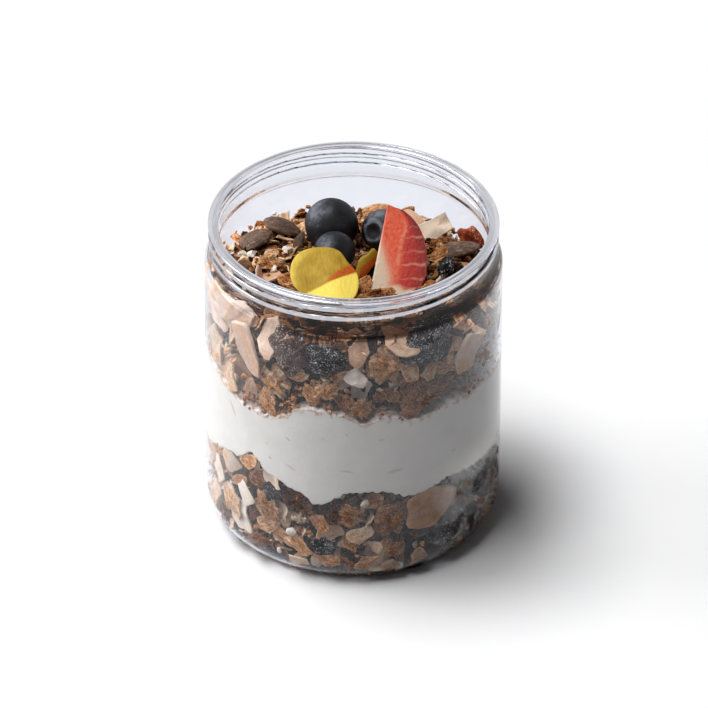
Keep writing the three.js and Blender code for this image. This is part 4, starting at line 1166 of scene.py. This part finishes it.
berry_skin = Finish("blueberry_skin", {"Specular IOR Level": 0.22})
bloom = berry_skin.noise(berry_skin.place(), 3.2, 4.0, 0.6)
dust = berry_skin.noise(berry_skin.place(), 0.5, 3.0)
# Painted highlight: the skin is paler on the side that faces the light, at the upper left.
painted_highlight = berry_skin.step(berry_skin.read("dusty"), 0.72, 1.02)
low = berry_skin.read("low")
star = berry_skin.step(low, 0.36, 0.44) - berry_skin.step(low, 0.5, 0.68)
dull = berry_skin.ramp(bloom + (dust - 0.5) * 0.3 + painted_highlight * 0.5 + star * 0.45, [
    (0.3, (8, 8, 10)), (0.5, (16, 16, 19)), (0.65, (30, 30, 35)), (0.85, (66, 69, 76)),
    (1.0, (104, 108, 116)),
])
berry_skin.feed("Base Color", berry_skin.mix(berry_skin.step(low, 0.28, 0.42), srgb(13, 10, 11), dull))
berry_skin.feed("Roughness", bloom * 0.25 + 0.4)
berry_skin.relief(dust + bloom, 0.06)
for name, berry in BERRIES.items():
    rings, fields = berry_rings(**berry)
    skin(f"{name}_fruit", rings, berry_skin, [name], fields)

# ---- the strawberry ------------------------------------------------------------------------------
# A wedge cut lengthwise from a ripe strawberry: a flat moist cut face to the camera side, pale at
# the core and red under the skin, with light veins between, and the round red skin behind.

WEDGE_RADIUS = 14.6
WEDGE_WIDEST = 0.3
WEDGE_FOOT_RUN = 0.38
WEDGE_TIP_RUN = 0.72
WEDGE_TURN = math.radians(52)
WEDGE_FACING = np.array([0.0, -0.821, 0.571])
CUT_POINTS = 44
SKIN_POINTS = 44
WEDGE_RINGS = 120
# Each vein that runs out to the skin: its share of the wedge's length where it ends there, its
# width as such a share and its strength.
WEDGE_VEINS = [
    (0.83, 0.010, 0.5), (0.72, 0.014, 0.8), (0.56, 0.013, 0.7), (0.41, 0.018, 1.0), (0.24, 0.014, 0.7),
    (0.12, 0.012, 0.5),
]

wedge_length = np.linalg.norm(WEDGE_TIP - WEDGE_FOOT)
wedge_axis = (WEDGE_TIP - WEDGE_FOOT) / wedge_length
wedge_away = -(WEDGE_FACING - (WEDGE_FACING @ wedge_axis) * wedge_axis)
wedge_away = wedge_away / np.linalg.norm(wedge_away)
wedge_right = np.cross(wedge_away, wedge_axis)


def wedge_half_width(share):
    """Half the strawberry's width at a share of its length: an ellipse's arc on each side of the
    widest place."""
    run = np.where(share < WEDGE_WIDEST, WEDGE_FOOT_RUN, WEDGE_TIP_RUN)
    return WEDGE_RADIUS * np.sqrt(np.maximum(1 - ((share - WEDGE_WIDEST) / run) ** 2, 0))


cut_reach = np.sin(np.linspace(0, np.pi / 2, CUT_POINTS))
section_reach = np.concatenate([cut_reach, np.ones(SKIN_POINTS), cut_reach[:0:-1]])
section_turn = WEDGE_TURN * np.concatenate([
    np.zeros(CUT_POINTS), np.linspace(0, 1, SKIN_POINTS + 2)[1:-1], np.ones(CUT_POINTS - 1),
])
share = np.sin(np.linspace(np.pi / 2, 0, WEDGE_RINGS))
closing = np.clip(np.minimum(1 - share, share) / 0.02, 0, 1)
closed = np.sqrt(np.maximum(1 - (1 - closing) ** 2, 0))
reach = (wedge_half_width(share) * closed)[:, None] * section_reach
swell = 1 + 0.012 * np.sin(9 * share[:, None] + 3 * section_turn)
across = reach * swell * np.cos(section_turn)
inward = reach * swell * np.sin(section_turn)
wedge_rings = (
    WEDGE_FOOT + across[..., None] * wedge_right + inward[..., None] * wedge_away
    + (wedge_length * share)[:, None, None] * wedge_axis
)[None]

# Across the cut face: the pale core low at the axis, an orange part beside it, veins that leave the
# vascular line for the skin, and how deep in the red cortex a point lies.
cut_across, cut_up = np.broadcast_arrays(section_reach, share[:, None])
skin_side = (section_turn > 0.01) & (section_turn < WEDGE_TURN - 0.01)
core_share = smooth_step(0.5 * (1 - cut_up / 0.6) - cut_across, -0.3, 0.3)
pale_foot = smooth_step(0.1 - cut_up + 0.02 * np.sin(14 * cut_across), -0.06, 0.05)
core_share = np.maximum(core_share, 0.8 * pale_foot)
line_place = 0.43 + 0.25 * smooth_step(cut_up, 0.55, 0.95)
vascular = np.exp(-(((cut_across - line_place) / 0.05) ** 2)) * plateau(cut_up, 0.22, 0.4, 0.8, 0.9)
beside = 1 - smooth_step(cut_across, line_place - 0.1, line_place + 0.22)
outward = smooth_step(cut_across, line_place - 0.02, line_place + 0.12)
veins = np.zeros(cut_across.shape)
for place, width, strength in WEDGE_VEINS:
    climb = place - 0.16 * (1 - cut_across) ** 1.5 + 0.006 * np.sin(23 * cut_across + 40 * place)
    spread_out = width * (0.5 + 0.9 * cut_across**3)
    veins = np.maximum(veins, strength * outward * np.exp(-(((cut_up - climb) / spread_out) ** 2)))
rim_red = smooth_step(cut_across, 0.955, 0.985)
on_skin = np.broadcast_to(skin_side, cut_across.shape).astype(float)
seeds_on_skin = on_skin * np.maximum(np.sin(34 * cut_up) * np.sin(14 * section_turn), 0) ** 6

flesh = Finish("strawberry", {
    "Specular IOR Level": 0.5,
    "Coat Roughness": 0.2,
    "Subsurface Weight": 0.1,
    "Subsurface Radius": (0.003, 0.001, 0.0006),
    "Subsurface Scale": 1.0,
})
wet = flesh.noise(flesh.place(), 1.1, 4.0, 0.6)
fibres = flesh.noise(flesh.stretch(flesh.place(), 1.0, 1.0, 0.35), 0.9, 3.0, 0.6)
depth = flesh.read("across") + (wet - 0.5) * 0.25 + flesh.read("up") * 0.12
cortex = flesh.ramp(depth, [
    (0.35, (208, 70, 44)), (0.6, (190, 46, 28)), (0.85, (168, 30, 18)), (1.1, (126, 18, 12)),
])
orange = flesh.ramp(wet, [(0.3, (222, 70, 38)), (0.7, (234, 110, 70))])
inner = flesh.mix(flesh.step(flesh.read("beside") + (fibres - 0.5) * 0.5, 0.2, 0.9), cortex, orange)
in_vein = flesh.step(flesh.read("veins") + (wet - 0.5) * 0.9, 0.15, 1.1)
veined = flesh.mix(in_vein * 0.6, inner, srgb(238, 168, 134))
pith = flesh.ramp(flesh.read("core") + (fibres - 0.5) * 0.3, [
    (0.3, (226, 140, 108)), (0.6, (226, 186, 156)), (0.9, (228, 204, 176)),
])
cored = flesh.mix(flesh.step(flesh.read("core") + (wet - 0.5) * 0.4, 0.1, 0.7), veined, pith)
skinned = flesh.mix(flesh.read("red"), cored, srgb(150, 18, 12))
flesh.feed("Base Color", flesh.mix(flesh.read("seeds") * 0.8, skinned, srgb(214, 170, 90)))
flesh.feed("Roughness", wet * 0.25 + 0.25)
flesh.feed("Coat Weight", flesh.step(wet, 0.4, 0.7) * 0.4)
flesh.relief(wet * 0.6 + fibres * 0.4, 0.25)
skin("strawberry_cut", wedge_rings, flesh, ["strawberry_wedge"], {
    "across": cut_across[None],
    "up": cut_up[None],
    "core": (core_share * (1 - on_skin))[None],
    "beside": (beside * (1 - on_skin))[None],
    "veins": (np.maximum(veins, 0.7 * vascular) * (1 - on_skin))[None],
    "red": np.maximum(rim_red, on_skin)[None],
    "seeds": seeds_on_skin[None],
})

# ---- the petals ----------------------------------------------------------------------------------
# Two thin flower petals. The larger leans on the front blueberry, with its lower right half folded
# up; its colour has painted light, a lit yellow past the fold and at its left rim against a darker
# shaded gold, and painted orange-brown shade along the fold, flecked orange-red. The smaller is
# curled and stands between the berries and the strawberry, with pale yellow edges and a red throat
# of its own.

PETAL_THICKNESS = 0.3
PETAL_RINGS = 26
PETAL_AROUND = 120
FOLD_SLOPE = 0.49
FOLD_BELOW = 2.6
FOLD_RISE = 0.3


def petal_rings(outline, bend):
    """A thin sheet over a disc: rings run out over the upper face, round the rim and back under.
    outline gives the reach at an angle, and bend takes u, v and the side into the jar."""
    out = np.linspace(0, 1, PETAL_RINGS)
    profile = np.concatenate([out, out[::-1]])
    swell = np.sqrt(1 - out**2 * 0.96)
    side = np.concatenate([swell, -swell[::-1]]) * PETAL_THICKNESS / 2
    turn = 2 * np.pi * np.arange(PETAL_AROUND) / PETAL_AROUND
    reach = profile[:, None] * outline(turn)
    u, v = reach * np.cos(turn), reach * np.sin(turn)
    points = bend(u, v, np.broadcast_to(side[:, None], u.shape))
    flat = np.stack([u, v, 0 * u], axis=-1)
    return points[None], flat[None]


def bumpy(radius, bumps):
    """A nearly round outline with bumps and notches: each its angle, spread in degrees and height."""
    def outline(turn):
        reach = radius
        for at, spread, rise in bumps:
            apart = (np.degrees(turn) - at + 180) % 360 - 180
            reach = reach + rise * np.exp(-((apart / spread) ** 2))
        return reach
    return outline


def past_fold(u, v):
    """How far a point of the large petal lies past its fold, towards the lower right edge."""
    return (FOLD_SLOPE * u - v - FOLD_BELOW) / math.hypot(FOLD_SLOPE, 1)


def front_bend(u, v, side):
    """Domes and waves the large petal, lifts what lies past its fold and lays it in its plane."""
    fold = FOLD_RISE * np.maximum(0, past_fold(u, v) - 0.3)
    lift = -0.011 * (u * u + v * v) + 0.25 * np.sin(u * 0.5) + fold
    parts = (u, PETAL_ACROSS), (v, PETAL_RISE), (lift + side, PETAL_OUT)
    return PETAL_MIDDLE + sum(amount[..., None] * way for amount, way in parts)


def back_bend(u, v, side):
    """Leans the small petal to the right and curls it over along its height."""
    curl = 0.2 * v
    x = 3.6 + 0.62 * u + 0.12 * v
    y = -0.6 + 0.42 * u + 2.6 * np.sin(curl) + 0.024 * u * u - side * np.cos(curl)
    z = 83.6 + 0.28 * u + 0.86 * v + 0.3 * side
    return np.stack([x, y, z], axis=-1)


petal = Finish("yellow_petal", {"Specular IOR Level": 0.25})
spread_at = petal.read_vector("flat")
veins = petal.noise(petal.stretch(spread_at, 1.1, 0.22, 1.0), 0.7, 3.0)
patch = petal.noise(spread_at, 3.5, 3.0)
fleck = petal.noise(spread_at, 0.45, 2.0)
shaded_and_body_gold = petal.ramp(veins * 0.4 + patch * 0.6, [
    (0.3, (146, 112, 22)), (0.5, (180, 144, 38)), (0.7, (200, 166, 58)),
])
lit_and_edge_yellow = petal.ramp(veins * 0.5 + fleck * 0.5, [(0.3, (234, 196, 62)), (0.6, (248, 224, 104))])
# On the large petal the lit yellow is painted light and the gold beside it painted shade; on the small one
# they are its pale yellow edge and its gold body.
lit_and_edged = petal.mix(petal.read("bright"), shaded_and_body_gold, lit_and_edge_yellow)
rust = petal.ramp(fleck, [(0.35, (150, 66, 14)), (0.5, (196, 104, 20)), (0.65, (222, 70, 30))])
# On the large petal this is painted shade along the fold, flecked orange-red; on the small one it is its
# red throat.
in_fold_shade_and_throat = petal.step(petal.read("rust") + (fleck - 0.5) * 0.5, 0.25, 0.8)
petal.feed("Base Color", petal.mix(in_fold_shade_and_throat, lit_and_edged, rust))
petal.feed("Roughness", veins * 0.2 + 0.5)
petal.relief(veins, 0.1)

front_outline = bumpy(9.4, [(136, 35, 1.3), (37, 20, -1.3), (313, 30, 1.8), (222, 22, -1)])
rings, flat = petal_rings(front_outline, front_bend)
u, v = flat[..., 0], flat[..., 1]
beyond = past_fold(u, v)
# Painted light: the part past the fold and the left rim are lit yellow; painted shade: orange-brown along
# the fold.
painted_rim_light = 0.5 * smooth_step(np.hypot(u, v), 7.6, 9.6) * smooth_step(-u, 2.0, 7.0)
bright = np.maximum(smooth_step(beyond, -0.1, 0.35), painted_rim_light)
width = np.clip(0.5 + 0.38 * (u + 3.5), 0.2, 5.0)
rust = plateau(beyond, -width, -0.25 * width, -0.2, 0.2) * smooth_step(u, -3.0, 4.0)
skin("front_petal", rings, petal, ["petal_front"], {"flat": flat, "bright": bright, "rust": rust})

rings, flat = petal_rings(lambda a: 4.2 + 0.9 * np.cos(2 * a) + 0.3 * np.cos(5 * a + 1), back_bend)
u, v = flat[..., 0], flat[..., 1]
# The small petal's pale yellow edge and red throat are its own colours.
bright = 0.8 * smooth_step(v, 1.6, 3.2)
rust = smooth_step(-v, -1.6, 0.6) * smooth_step(u, -4.5, -1.5)
skin("back_petal", rings, petal, ["petal_back"], {"flat": flat, "bright": bright, "rust": rust})
